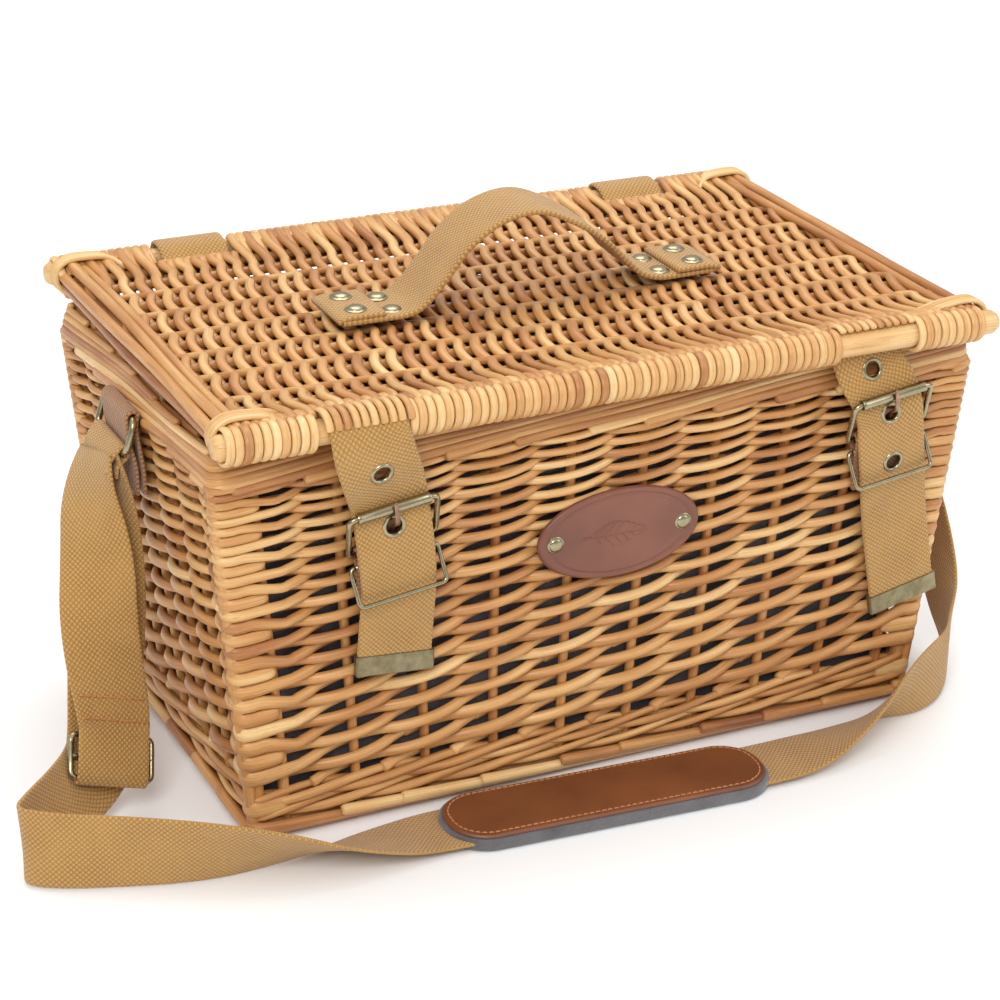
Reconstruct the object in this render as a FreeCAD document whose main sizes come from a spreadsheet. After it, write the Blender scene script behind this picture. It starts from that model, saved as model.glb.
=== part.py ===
"""Wicker picnic basket with a hinged lid, two buckled webbing straps, a carry handle and a shoulder strap.

Frame: origin at the middle of the base's underside, +Z up, X along the length, and the buckles on
the -Y side. Millimetres.
"""
import FreeCAD, Part
import math
import os

import Sketcher

Vector = FreeCAD.Vector

doc = FreeCAD.newDocument("picnic_basket")
sheet = doc.addObject("Spreadsheet::Sheet", "sheet")

DIMENSIONS = {
    # woven body: half sizes at the floor and at the rim
    "base_half_length": 193.0,
    "base_half_depth": 111.5,
    "rim_half_length": 212.5,
    "rim_half_depth": 119.5,
    "rim_height": 196.0,
    "border_top": 214.5,
    "foot_height": 12.0,
    "foot_overhang": 2.0,
    "panel_thickness": 8.0,
    "post_width": 10.0,
    "lining_thickness": 1.2,
    "lining_gap": 0.5,
    # lid: two long rails, sticks between them, and the weave round all of them
    "lid_half_length": 212.5,
    "rail_offset": 130.0,
    "rail_height": 225.0,
    "rail_radius": 6.5,
    "wrap_radius": 10.0,
    "weave_half_length": 204.0,
    "weave_half_thickness": 7.0,
    "stake_radius": 3.4,
    "stake_pitch": 31.0,
    "side_rod_radius": 3.1,
    "side_rod_pitch": 6.5,
    "hinge_axis_offset": 122.5,
    "hinge_axis_height": 215.0,
    # webbing
    "webbing_width": 40.0,
    "webbing_thickness": 2.2,
    "front_notch_x": 140.0,
    "back_notch_x": 134.0,
    "notch_width": 44.0,
    "notch_depth": 24.0,
    # leather name patch
    "patch_length": 92.0,
    "patch_height": 50.0,
    "patch_thickness": 2.6,
    "patch_x": 4.0,
    "patch_z": 138.5,
    "patch_rivet_spacing": 75.0,
    # buckles: a wire frame with a roller, a prong and a keeper loop
    "wire_radius": 1.5,
    "thin_wire_radius": 1.1,
    "buckle_inside_width": 43.0,
    "buckle_reach": 24.0,
    "keeper_reach": 18.0,
    "roller_radius": 2.8,
    "roller_bore_radius": 1.56,
    "roller_length": 39.0,
    "prong_width": 2.8,
    "prong_thickness": 1.3,
    "eyelet_inner_radius": 4.2,
    "eyelet_outer_radius": 6.2,
    "tip_height": 11.5,
    # side rings for the shoulder strap
    "ring_inside_width": 43.0,
    "ring_bar_spacing": 17.5,
    "ring_height": 198.5,
    "ring_offset": 216.5,
    "tab_bottom": 156.0,
    # carry handle
    "handle_thickness": 3.0,
    "rivet_radius": 4.6,
    "rivet_rise": 2.4,
    # shoulder strap
    "strap_ply": 2.2,
    "pad_length": 182.0,
    "pad_width": 54.0,
    "leather_thickness": 3.0,
    "felt_thickness": 6.0,
    "adjuster_height": 22.0,
}

for row, (alias, value) in enumerate(DIMENSIONS.items(), start=1):
    sheet.set(f"A{row}", alias)
    sheet.set(f"B{row}", str(value))
    sheet.setAlias(f"B{row}", alias)
doc.recompute()

PARTS = []


def dim(alias):
    """The value of one driving dimension."""
    return float(sheet.get(alias))


def part(obj, label):
    """Registers one finished piece under the name of its node."""
    obj.Label = label
    PARTS.append(obj)
    return obj


def bind(obj, **expressions):
    """Ties properties of an object to the sheet; a double underscore in a name stands for a dot."""
    for name, expression in expressions.items():
        obj.setExpression(name.replace("__", "."), expression)
    return obj


def wall_half(axis, height):
    """Expression for the woven body's outer half size at a height, along 'length' or 'depth'."""
    base, rim = f"sheet.base_half_{axis}", f"sheet.rim_half_{axis}"
    return f"({base} + ({rim} - {base}) * ({height}) / sheet.rim_height)"


def outer_depth(height):
    """The front wall's distance from the middle plane at a height."""
    share = height / dim("rim_height")
    return dim("base_half_depth") + (dim("rim_half_depth") - dim("base_half_depth")) * share


def outer_length(height):
    """The side wall's distance from the middle plane at a height."""
    share = height / dim("rim_height")
    return dim("base_half_length") + (dim("rim_half_length") - dim("base_half_length")) * share


# ---------------------------------------------------------------- shape helpers

def tapered_block(name, bottom, top, low, high):
    """A Part::Wedge standing upright; bottom and top are (x0, x1, y0, y1) expressions."""
    wedge = doc.addObject("Part::Wedge", name)
    wedge.Placement = FreeCAD.Placement(Vector(0, 0, 0), FreeCAD.Rotation(Vector(1, 0, 0), 90))
    bind(wedge, Xmin=bottom[0], Xmax=bottom[1], Zmin=f"-({bottom[3]})", Zmax=f"-({bottom[2]})",
         X2min=top[0], X2max=top[1], Z2min=f"-({top[3]})", Z2max=f"-({top[2]})",
         Ymin=low, Ymax=high)
    return wedge


def frustum(name, inset, low, high):
    """A four-sided tapered block that follows the woven body's sides, moved in by inset."""
    sections = []
    for height in (low, high):
        x = f"({wall_half('length', height)} - ({inset}))"
        y = f"({wall_half('depth', height)} - ({inset}))"
        sections.append((f"-{x}", x, f"-{y}", y))
    return tapered_block(name, sections[0], sections[1], low, high)


def cut(base, tool, name):
    result = doc.addObject("Part::Cut", name)
    result.Base = base
    result.Tool = tool
    return result


def compound(name, objects):
    group = doc.addObject("Part::Compound", name)
    group.Links = objects
    return group


def body_sketch(body, name, role):
    """A sketch attached to one of the body's own origin planes."""
    sketch = body.newObject("Sketcher::SketchObject", name)
    plane = next(item for item in body.Origin.OriginFeatures if item.Role == role)
    sketch.AttachmentSupport = (plane, "")
    sketch.MapMode = "FlatFace"
    return sketch


def add_polygon(sketch, corners):
    """A closed outline whose corners are pairs of expressions, each tied by two named distances."""
    first = sketch.GeometryCount
    count = len(corners)
    numbers = [(sheet_value(x), sheet_value(y)) for x, y in corners]
    for i in range(count):
        a, b = numbers[i], numbers[(i + 1) % count]
        sketch.addGeometry(Part.LineSegment(Vector(a[0], a[1], 0), Vector(b[0], b[1], 0)), False)
    for i in range(count):
        following = first + (i + 1) % count
        sketch.addConstraint(Sketcher.Constraint("Coincident", first + i, 2, following, 1))
    for i, (x, y) in enumerate(corners):
        for kind, value, number in (("DistanceX", x, numbers[i][0]), ("DistanceY", y, numbers[i][1])):
            index = sketch.addConstraint(Sketcher.Constraint(kind, -1, 1, first + i, 1, number))
            label = f"{kind[-1].lower()}{first + i}"
            sketch.renameConstraint(index, label)
            sketch.setExpression(f"Constraints.{label}", value)


def add_circle(sketch, x, y, radius):
    """A circle whose centre and radius are expressions."""
    numbers = [sheet_value(value) for value in (x, y, radius)]
    circle = Part.Circle(Vector(numbers[0], numbers[1], 0), Vector(0, 0, 1), numbers[2])
    geometry = sketch.addGeometry(circle, False)
    rules = (
        ("cx", Sketcher.Constraint("DistanceX", -1, 1, geometry, 3, numbers[0]), x),
        ("cy", Sketcher.Constraint("DistanceY", -1, 1, geometry, 3, numbers[1]), y),
        ("r", Sketcher.Constraint("Radius", geometry, numbers[2]), radius),
    )
    for label, rule, expression in rules:
        index = sketch.addConstraint(rule)
        sketch.renameConstraint(index, f"{label}{geometry}")
        sketch.setExpression(f"Constraints.{label}{geometry}", expression)


def sheet_value(expression):
    """The number that an expression over the sheet's aliases gives."""
    value = sheet.evalExpression(expression) if hasattr(sheet, "evalExpression") else None
    if value is None:
        raise RuntimeError(f"cannot evaluate {expression}")
    return float(getattr(value, "Value", value))


def pad(body, sketch, length, midplane=False, reverse=False):
    feature = body.newObject("PartDesign::Pad", sketch.Name + "_pad")
    feature.Profile = sketch
    feature.Midplane = midplane
    feature.Reversed = reverse
    feature.setExpression("Length", length)
    body.Tip = feature
    return feature


def rounded_runs(points):
    """A rounded path's pieces, as (start, middle, end): straight runs, and arcs as large as fit."""
    pieces = []
    start = points[0]
    for before, corner, after in zip(points, points[1:], points[2:]):
        back, ahead = before.sub(corner), after.sub(corner)
        turn = math.pi - back.getAngle(ahead)
        trim = 0.45 * min(back.Length, ahead.Length)
        radius = trim / math.tan(turn / 2)
        a = corner.add(Vector(back).normalize().multiply(trim))
        b = corner.add(Vector(ahead).normalize().multiply(trim))
        inward = Vector(back).normalize().add(Vector(ahead).normalize()).normalize()
        centre = corner.add(Vector(inward).multiply(math.hypot(radius, trim)))
        middle = centre.sub(Vector(inward).multiply(radius))
        pieces.append((start, None, a))
        pieces.append((a, middle, b))
        start = b
    pieces.append((start, None, points[-1]))
    return pieces


def path_wire(points):
    """A wire of straight runs joined by tangent arcs."""
    edges = []
    for start, middle, end in rounded_runs(points):
        if middle is None:
            edges.append(Part.LineSegment(start, end).toShape())
        else:
            edges.append(Part.Arc(start, middle, end).toShape())
    return Part.Wire(edges)


def swept(points, profile_at):
    """A solid swept along a path of runs and tangent arcs."""
    wire = path_wire(points)
    direction = points[1].sub(points[0]).normalize()
    profile = profile_at(points[0], direction)
    shell = Part.BRepOffsetAPI.MakePipeShell(wire)
    shell.setFrenetMode(False)
    shell.add(profile)
    shell.setTransitionMode(0)
    shell.build()
    shell.makeSolid()
    return shell.shape()


def flat_band(points, thickness, width, across):
    """A band of webbing along a plane path, its width along the unit vector across."""
    def profile(at, along):
        side = across.cross(along).normalize().multiply(thickness / 2)
        half = Vector(across).multiply(width / 2)
        corners = [at.add(side).add(half), at.add(side).sub(half),
                   at.sub(side).sub(half), at.sub(side).add(half)]
        return Part.makePolygon(corners + corners[:1])
    return swept(points, profile)


def twisting_band(sections, thickness, width):
    """A band that turns as it goes: each section is its centre, its direction and its width's direction."""
    rings = []
    for centre, along, across in sections:
        normal = across.cross(along).normalize().multiply(thickness / 2)
        half = Vector(across).normalize().multiply(width / 2)
        corners = [centre.add(normal).add(half), centre.add(normal).sub(half),
                   centre.sub(normal).sub(half), centre.sub(normal).add(half)]
        rings.append(Part.makePolygon(corners + corners[:1]))
    return Part.makeLoft(rings, True, True)


def feature(label, shape, placement=None):
    """A piece whose shape comes from Part's own functions."""
    obj = doc.addObject("Part::Feature", label)
    obj.Shape = shape
    if placement is not None:
        obj.Placement = placement
    return part(obj, label)


def dome(radius, rise, at, up):
    """A rivet head: a spherical cap on a short rim, its foot at a point."""
    rim = 0.35 * rise
    sphere_radius = (radius ** 2 + (rise - rim) ** 2) / (2 * (rise - rim))
    base = Part.makeCylinder(radius, rise, at, up)
    centre = at.add(Vector(up).multiply(rise - sphere_radius))
    return base.common(Part.makeSphere(sphere_radius, centre))


# ---------------------------------------------------------------- woven body

def base_panel():
    body = doc.addObject("PartDesign::Body", "base_panel_body")
    sketch = body_sketch(body, "base_outline", "XY_Plane")
    x = "(sheet.base_half_length - sheet.post_width)"
    y = "(sheet.base_half_depth - sheet.post_width)"
    add_polygon(sketch, [(f"-{x}", f"-{y}"), (x, f"-{y}"), (x, y), (f"-{x}", y)])
    pad(body, sketch, "sheet.panel_thickness")
    part(body, "base_panel")


def foot_border():
    body = doc.addObject("PartDesign::Body", "foot_border_body")
    sketch = body_sketch(body, "foot_outline", "XY_Plane")
    for inset in ("-sheet.foot_overhang", "sheet.post_width"):
        x = f"(sheet.base_half_length - ({inset}))"
        y = f"(sheet.base_half_depth - ({inset}))"
        add_polygon(sketch, [(f"-{x}", f"-{y}"), (x, f"-{y}"), (x, y), (f"-{x}", y)])
    pad(body, sketch, "sheet.foot_height")
    part(body, "foot_border")


def walls():
    """Four woven panels between the corner posts, from the foot border to the rim."""
    low, high = "sheet.foot_height", "sheet.rim_height"
    ranges = {}
    for height in (low, high):
        x, y = wall_half("length", height), wall_half("depth", height)
        inner_x, inner_y = f"({x} - sheet.post_width)", f"({y} - sheet.post_width)"
        thick_x, thick_y = f"({x} - sheet.panel_thickness)", f"({y} - sheet.panel_thickness)"
        ranges[height] = {
            "front_wall": (f"-{inner_x}", inner_x, f"-{y}", f"-{thick_y}"),
            "back_wall": (f"-{inner_x}", inner_x, thick_y, y),
            "left_wall": (f"-{x}", f"-{thick_x}", f"-{inner_y}", inner_y),
            "right_wall": (thick_x, x, f"-{inner_y}", inner_y),
        }
    for label in ranges[low]:
        part(tapered_block(label + "_block", ranges[low][label], ranges[high][label], low, high), label)


def corner_posts():
    low, high = "sheet.foot_height", "sheet.rim_height"
    posts = []
    for side_x in (-1, 1):
        for side_y in (-1, 1):
            sections = []
            for height in (low, high):
                x, y = wall_half("length", height), wall_half("depth", height)
                xs = [f"({side_x} * {x})", f"({side_x} * ({x} - sheet.post_width))"]
                ys = [f"({side_y} * {y})", f"({side_y} * ({y} - sheet.post_width))"]
                if side_x > 0:
                    xs.reverse()
                if side_y > 0:
                    ys.reverse()
                sections.append((xs[0], xs[1], ys[0], ys[1]))
            posts.append(tapered_block("post", sections[0], sections[1], low, high))
    part(compound("corner_post_group", posts), "corner_posts")


def top_border():
    outer = frustum("border_outer", "0", "sheet.rim_height", "sheet.border_top")
    inner = frustum("border_inner", "sheet.post_width", "sheet.rim_height", "sheet.border_top")
    part(cut(outer, inner, "border_ring"), "top_border")


def fabric_lining():
    """A thin cloth tub inside the walls, open at the top."""
    floor = "(sheet.foot_height + sheet.lining_gap)"
    top = "(sheet.rim_height - sheet.lining_thickness)"
    thickness = "sheet.lining_thickness"
    inset = "sheet.post_width + sheet.lining_gap"
    outer = frustum("lining_outer", inset, floor, top)
    inner = frustum("lining_inner", f"{inset} + {thickness}", f"{floor} + {thickness}", f"{top} + 1")
    part(cut(outer, inner, "lining_tub"), "fabric_lining")


def front_placement(x, z, lean=0.0):
    """Stands a piece drawn at the origin against the front wall, turned by lean in the wall's plane."""
    slope = math.degrees(math.atan2(outer_depth(dim("rim_height")) - outer_depth(0), dim("rim_height")))
    turn = FreeCAD.Rotation(Vector(1, 0, 0), slope).multiply(FreeCAD.Rotation(Vector(0, 1, 0), -lean))
    return FreeCAD.Placement(Vector(x, -outer_depth(z), z), turn)


def name_patch():
    """A plain oval leather patch with two rivets."""
    body = doc.addObject("PartDesign::Body", "name_patch_body")
    sketch = body_sketch(body, "patch_outline", "XZ_Plane")
    right_end = Vector(dim("patch_length") / 2, 0, 0)
    top_end = Vector(0, dim("patch_height") / 2, 0)
    oval = sketch.addGeometry(Part.Ellipse(right_end, top_end, Vector(0, 0, 0)), False)
    sketch.exposeInternalGeometry(oval)
    sketch.addConstraint(Sketcher.Constraint("Coincident", oval, 3, -1, 1))
    rules = (("length", "DistanceX", oval + 1, "sheet.patch_length"),
             ("height", "DistanceY", oval + 2, "sheet.patch_height"))
    for label, kind, line, expression in rules:
        ends = (sketch.Geometry[line].StartPoint, sketch.Geometry[line].EndPoint)
        measure = ends[1].x - ends[0].x if kind == "DistanceX" else ends[1].y - ends[0].y
        order = (1, 2) if measure > 0 else (2, 1)
        index = sketch.addConstraint(Sketcher.Constraint(kind, line, order[0], line, order[1], abs(measure)))
        sketch.renameConstraint(index, label)
        sketch.setExpression(f"Constraints.{label}", expression)
    pad(body, sketch, "sheet.patch_thickness")
    placement = front_placement(dim("patch_x"), dim("patch_z"))
    body.Placement = placement
    part(body, "name_patch")

    heads = []
    for side in (-1, 1):
        foot = Vector(side * dim("patch_rivet_spacing") / 2, -dim("patch_thickness"), 0)
        heads.append(dome(dim("rivet_radius"), dim("rivet_rise"), foot, Vector(0, -1, 0)))
    feature("patch_rivets", Part.makeCompound(heads), placement)


# ---------------------------------------------------------------- lid

def lid_rails():
    for label, side in (("lid_front_rail", -1), ("lid_back_rail", 1)):
        rail = doc.addObject("Part::Cylinder", label + "_rod")
        rail.Placement = FreeCAD.Placement(Vector(0, 0, 0), FreeCAD.Rotation(Vector(0, 1, 0), 90))
        bind(rail, Radius="sheet.rail_radius", Height="2 * sheet.lid_half_length",
             Placement__Base__x="-sheet.lid_half_length", Placement__Base__y=f"{side} * sheet.rail_offset",
             Placement__Base__z="sheet.rail_height")
        part(rail, label)


STAKE_ROWS = (-3, -2, -1, 0, 1, 2, 3)


def lid_stakes():
    sticks = []
    for row in STAKE_ROWS:
        stick = doc.addObject("Part::Cylinder", "stake")
        stick.Placement = FreeCAD.Placement(Vector(0, 0, 0), FreeCAD.Rotation(Vector(0, 1, 0), 90))
        bind(stick, Radius="sheet.stake_radius", Height="2 * sheet.weave_half_length",
             Placement__Base__x="-sheet.weave_half_length", Placement__Base__y=f"{row} * sheet.stake_pitch",
             Placement__Base__z="sheet.rail_height")
        sticks.append(stick)
    part(compound("stake_group", sticks), "lid_stakes")


def lid_weave():
    """The woven panel with its turns round both rails, notched where webbing goes round a rail."""
    fit = "0.15"
    body = doc.addObject("PartDesign::Body", "lid_weave_body")
    sketch = body_sketch(body, "weave_section", "YZ_Plane")
    y, z = "(sheet.rail_offset)", "sheet.rail_height"
    under, over = f"{z} - sheet.weave_half_thickness", f"{z} + sheet.weave_half_thickness"
    add_polygon(sketch, [(f"-{y}", under), (y, under), (y, over), (f"-{y}", over)])
    pad(body, sketch, "2 * sheet.weave_half_length", midplane=True)
    for side in (-1, 1):
        turns = body_sketch(body, f"wrap_section_{side + 1}", "YZ_Plane")
        add_circle(turns, f"{side} * {y}", z, "sheet.wrap_radius")
        pad(body, turns, "2 * sheet.weave_half_length", midplane=True)
    bores = body_sketch(body, "rod_bores", "YZ_Plane")
    for side in (-1, 1):
        add_circle(bores, f"{side} * {y}", z, f"sheet.rail_radius + {fit}")
    for row in STAKE_ROWS:
        add_circle(bores, f"{row} * sheet.stake_pitch", z, f"sheet.stake_radius + {fit}")
    through = body.newObject("PartDesign::Pocket", "rod_bores_pocket")
    through.Profile = bores
    through.Midplane = True
    through.setExpression("Length", "2 * sheet.weave_half_length + 2")
    body.Tip = through
    notches = body_sketch(body, "webbing_notches", "XY_Plane")
    reach = "(sheet.rail_offset + sheet.wrap_radius + 1)"
    for side, place in ((-1, "sheet.front_notch_x"), (1, "sheet.back_notch_x")):
        inner = f"({side} * ({reach} - sheet.notch_depth - sheet.wrap_radius))"
        outer = f"({side} * {reach})"
        for end in (-1, 1):
            near = f"({end} * {place} - sheet.notch_width / 2)"
            far = f"({end} * {place} + sheet.notch_width / 2)"
            add_polygon(notches, [(near, inner), (far, inner), (far, outer), (near, outer)])
    gap = body.newObject("PartDesign::Pocket", "webbing_notches_pocket")
    gap.Profile = notches
    gap.Midplane = True
    gap.setExpression("Length", "4 * sheet.rail_height")
    body.Tip = gap
    part(body, "lid_weave")


def lid_side_rods():
    """Three rods along each short side of the lid, end to end between the rails."""
    rods = []
    for side in (-1, 1):
        for level in (-1, 0, 1):
            rod = doc.addObject("Part::Cylinder", "side_rod")
            rod.Placement = FreeCAD.Placement(Vector(0, 0, 0), FreeCAD.Rotation(Vector(1, 0, 0), -90))
            bind(rod, Radius="sheet.side_rod_radius",
                 Height="2 * (sheet.rail_offset - sheet.rail_radius) - 1",
                 Placement__Base__x=f"{side} * (sheet.lid_half_length - sheet.side_rod_radius - 1)",
                 Placement__Base__y="-(sheet.rail_offset - sheet.rail_radius) + 0.5",
                 Placement__Base__z=f"sheet.rail_height + {level} * sheet.side_rod_pitch")
            rods.append(rod)
    part(compound("side_rod_group", rods), "lid_side_rods")


def lid_corner_ties():
    """A loop of split willow over each corner, where the rail meets the side rods."""
    ties = []
    inset = 4.0
    top = dim("rail_height") + dim("wrap_radius") + 0.2
    for side_x in (-1, 1):
        for side_y in (-1, 1):
            tie = Part.makeBox(20.0, 7.0, 2.0, Vector(-10.0, -3.5, 0))
            turn = FreeCAD.Rotation(Vector(0, 0, 1), 45 * side_x * side_y * -1)
            reach_x = side_x * (dim("weave_half_length") - inset)
            place = Vector(reach_x, side_y * (dim("rail_offset") - inset), top)
            tie.Placement = FreeCAD.Placement(place, turn)
            ties.append(tie)
    feature("lid_corner_ties", Part.makeCompound(ties))


# the carry handle's side view, from its left foot to its right one
HANDLE_PROFILE = [(-107, 0), (-68, 0), (-60, 8), (-38, 33), (-18, 44.5), (2, 47),
                  (24, 37), (46, 22.5), (60, 8), (68, 0), (107, 0)]
HANDLE_Y = -8.5                   # the handle lies a little in front of the lid's middle line
HANDLE_TAB = (85.0, 107.0)        # each end tab's nearest and furthest reach from the middle
HANDLE_RIVETS_X = (77.0, 97.0)    # the inner pair goes through the band, the outer one through the tab too
HANDLE_RIVETS_Y = (-10.0, 10.0)


def carry_handle():
    """A webbing arch along the lid, each end under a riveted webbing tab."""
    gap = 0.1
    thickness, width = dim("handle_thickness"), dim("webbing_width")
    middle = dim("rail_height") + dim("weave_half_thickness") + 2 * gap + thickness / 2
    path = [Vector(x, HANDLE_Y, middle + z) for x, z in HANDLE_PROFILE]
    feature("carry_handle", flat_band(path, thickness, width, Vector(0, 1, 0)))

    band_top = middle + thickness / 2 + gap
    tab_top = band_top + thickness + gap
    near, far = HANDLE_TAB
    tabs, heads = [], []
    for side in (-1, 1):
        corner = Vector(near if side > 0 else -far, HANDLE_Y - width / 2, band_top)
        tabs.append(Part.makeBox(far - near, width, thickness, corner))
        for x, foot in zip(HANDLE_RIVETS_X, (band_top, tab_top)):
            for y in HANDLE_RIVETS_Y:
                at = Vector(side * x, HANDLE_Y + y, foot)
                heads.append(dome(dim("rivet_radius"), dim("rivet_rise"), at, Vector(0, 0, 1)))
    feature("handle_end_tabs", Part.makeCompound(tabs))
    feature("handle_rivets", Part.makeCompound(heads))


def hinge_straps():
    """Webbing round the lid's back rail and down the outside of the back wall."""
    thickness = dim("webbing_thickness")
    wall = outer_depth(dim("rim_height")) + thickness / 2 + 1.0
    rail_y, rail_z = dim("rail_offset"), dim("rail_height")
    hug = dim("rail_radius") + thickness / 2 + 0.6
    points = [(wall - 0.6, 172.0), (wall + 0.4, 208.0), (rail_y + hug, rail_z - 9),
              (rail_y + hug, rail_z + hug), (rail_y - 9, rail_z + hug), (rail_y - 13, rail_z + 3)]
    for label, side in (("left_hinge_strap", -1), ("right_hinge_strap", 1)):
        path = [Vector(side * dim("back_notch_x"), y, z) for y, z in points]
        feature(label, flat_band(path, thickness, dim("webbing_width") - 2, Vector(1, 0, 0)))


# ---------------------------------------------------------------- buckles and closure straps

BAR_STANDOFF = 5.0      # the centre bar's axis over the wall
STRAP_STANDOFF = 10.0   # the strap's middle plane over the wall, where it crosses the bar
ROLLER_STANDOFF = 14.0  # the roller's axis over the wall
HOLE_ABOVE_BAR = 12.0   # the eyelet in use, over the centre bar
KEEPER_BELOW_BAR = 7.0

# the centre bar's middle and its tilt; the strap's route from the lid's notch to its tip; its eyelets
CLOSURES = {
    "left": {
        "bar": (-122.3, 158.0), "tilt": 8.0, "eyelets": (6, 9),
        "route": [(-141, -110, 227), (-141, -118, 233), (-140.5, -127, 234.8), (-140, -135.5, 232.5),
                  (-139.5, -139.6, 226), (-138.5, -140.2, 217), (-133.3, -135.8, 202), (-127.6, -129.5, 189),
                  (-125.6, -128.3, 181), (-124, -128.4, 170), (-122.3, -128.1, 158), (-119.7, -125.3, 137),
                  (-119, -120.5, 112), (-119, -118.2, 97), (-119, -117.6, 86)],
    },
    "right": {
        "bar": (156.5, 171.0), "tilt": 8.0, "eyelets": (4, 6, 8),
        "route": [(141, -109, 227), (141, -117, 230), (141, -121.9, 225), (141, -122.6, 216),
                  (144.2, -124.8, 207), (150.4, -128.2, 195), (154.8, -129.0, 183), (156.7, -128.6, 171),
                  (160.3, -126.5, 154), (168, -120.5, 122), (175, -118.0, 92), (178, -117.4, 78),
                  (181, -116.8, 65)],
    },
}


def wire_rectangle(corners, radius):
    """Straight wires along the sides of a closed outline, with ball corners."""
    shape = None
    for a, b in zip(corners, corners[1:] + corners[:1]):
        rod = Part.makeCylinder(radius, b.sub(a).Length, a, b.sub(a))
        shape = rod if shape is None else shape.fuse(rod)
        shape = shape.fuse(Part.makeSphere(radius, a))
    return shape.removeSplitter()


def tube_along_x(radius, length, y, z):
    return Part.makeCylinder(radius, length, Vector(-length / 2, y, z), Vector(1, 0, 0))


def buckle_frame(side, place):
    """A wire loop: the centre bar behind the strap, the roller's bar in front of it and higher."""
    wire = dim("wire_radius")
    half = dim("buckle_inside_width") / 2 + wire
    reach = dim("buckle_reach")
    corners = [Vector(-half, -BAR_STANDOFF, 0), Vector(-half, -ROLLER_STANDOFF, reach),
               Vector(half, -ROLLER_STANDOFF, reach), Vector(half, -BAR_STANDOFF, 0)]
    feature(f"{side}_buckle_frame", wire_rectangle(corners, wire), place)


def buckle_roller(side, place):
    length = dim("roller_length")
    tube = tube_along_x(dim("roller_radius"), length, -ROLLER_STANDOFF, dim("buckle_reach"))
    bore = tube_along_x(dim("roller_bore_radius"), length + 2, -ROLLER_STANDOFF, dim("buckle_reach"))
    feature(f"{side}_buckle_roller", tube.cut(bore), place)


def buckle_prong(side, place):
    """A flat tongue: an eye round the centre bar, out through the eyelet and over the roller."""
    thick, width = dim("prong_thickness"), dim("prong_width")
    clear = dim("wire_radius") + 0.06
    ring_middle = clear + thick / 2
    rest = ROLLER_STANDOFF + dim("roller_radius") + thick / 2 + 0.15
    reach = dim("buckle_reach")
    points = [Vector(0, -BAR_STANDOFF, ring_middle), Vector(0, 2.1 - STRAP_STANDOFF, HOLE_ABOVE_BAR - 1.4),
              Vector(0, -rest + 0.2, reach - 7.4), Vector(0, -rest - 0.15, reach + 4.0)]
    tongue = flat_band(points, thick, width, Vector(1, 0, 0))
    eye = tube_along_x(clear + thick, width, -BAR_STANDOFF, 0)
    bore = tube_along_x(clear, width + 2, -BAR_STANDOFF, 0)
    feature(f"{side}_buckle_prong", eye.fuse(tongue).cut(bore).removeSplitter(), place)


def keeper_corners():
    """The keeper loop's corners: the hidden bar in the tab, the free bar over the strap."""
    wire = dim("thin_wire_radius")
    half = dim("buckle_inside_width") / 2 + wire + 0.4
    free = STRAP_STANDOFF + dim("webbing_thickness") / 2 + wire + 0.8
    low = -KEEPER_BELOW_BAR - dim("keeper_reach")
    return [Vector(-half, -BAR_STANDOFF, -KEEPER_BELOW_BAR), Vector(-half, -free, low),
            Vector(half, -free, low), Vector(half, -BAR_STANDOFF, -KEEPER_BELOW_BAR)]


def buckle_keeper(side, place):
    """A thin wire loop that holds the strap's free end down."""
    feature(f"{side}_buckle_keeper", wire_rectangle(keeper_corners(), dim("thin_wire_radius")), place)


def buckle_tab(side, place):
    """Webbing from the wall round the centre bar and the keeper's bar, slotted for the prong."""
    ply, fit = 1.8, 0.15
    width = dim("buckle_inside_width") - 4
    clear = dim("wire_radius") + fit
    back = BAR_STANDOFF + clear + 0.6
    foot, tail_length, tail_thickness = 0.4, 27.0, 3.6
    outline = [(-foot, 0), (-back, 0), (-back, -KEEPER_BELOW_BAR - 3), (-tail_thickness, -tail_length),
               (-foot, -tail_length)]
    corners = [Vector(-width / 2, y, z) for y, z in outline]
    tail = Part.Face(Part.makePolygon(corners + corners[:1])).extrude(Vector(width, 0, 0))
    outer = tube_along_x(clear + ply, width, -BAR_STANDOFF, 0)
    bar_bore = tube_along_x(clear, width + 2, -BAR_STANDOFF, 0)
    keeper_clear = dim("thin_wire_radius") + 0.1 + fit
    keeper_bore = tube_along_x(keeper_clear, width + 2, -BAR_STANDOFF, -KEEPER_BELOW_BAR)
    slot_width = dim("prong_width") + 1.0
    slot = Part.makeBox(slot_width, 20.0, 9.0, Vector(-slot_width / 2, -20.0, -4.2))
    shape = outer.fuse(tail).cut(bar_bore).cut(keeper_bore).cut(slot)
    feature(f"{side}_buckle_tab", shape.removeSplitter(), place)


def band_sections(points, across):
    """Sections of a band through points: each one's centre, direction and width direction."""
    sections = []
    for i, centre in enumerate(points):
        along = points[min(i + 1, len(points) - 1)].sub(points[max(i - 1, 0)]).normalize()
        wanted = across[i] if isinstance(across, list) else across
        square = wanted.sub(Vector(along).multiply(wanted.dot(along))).normalize()
        sections.append((centre, along, square))
    return sections


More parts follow.
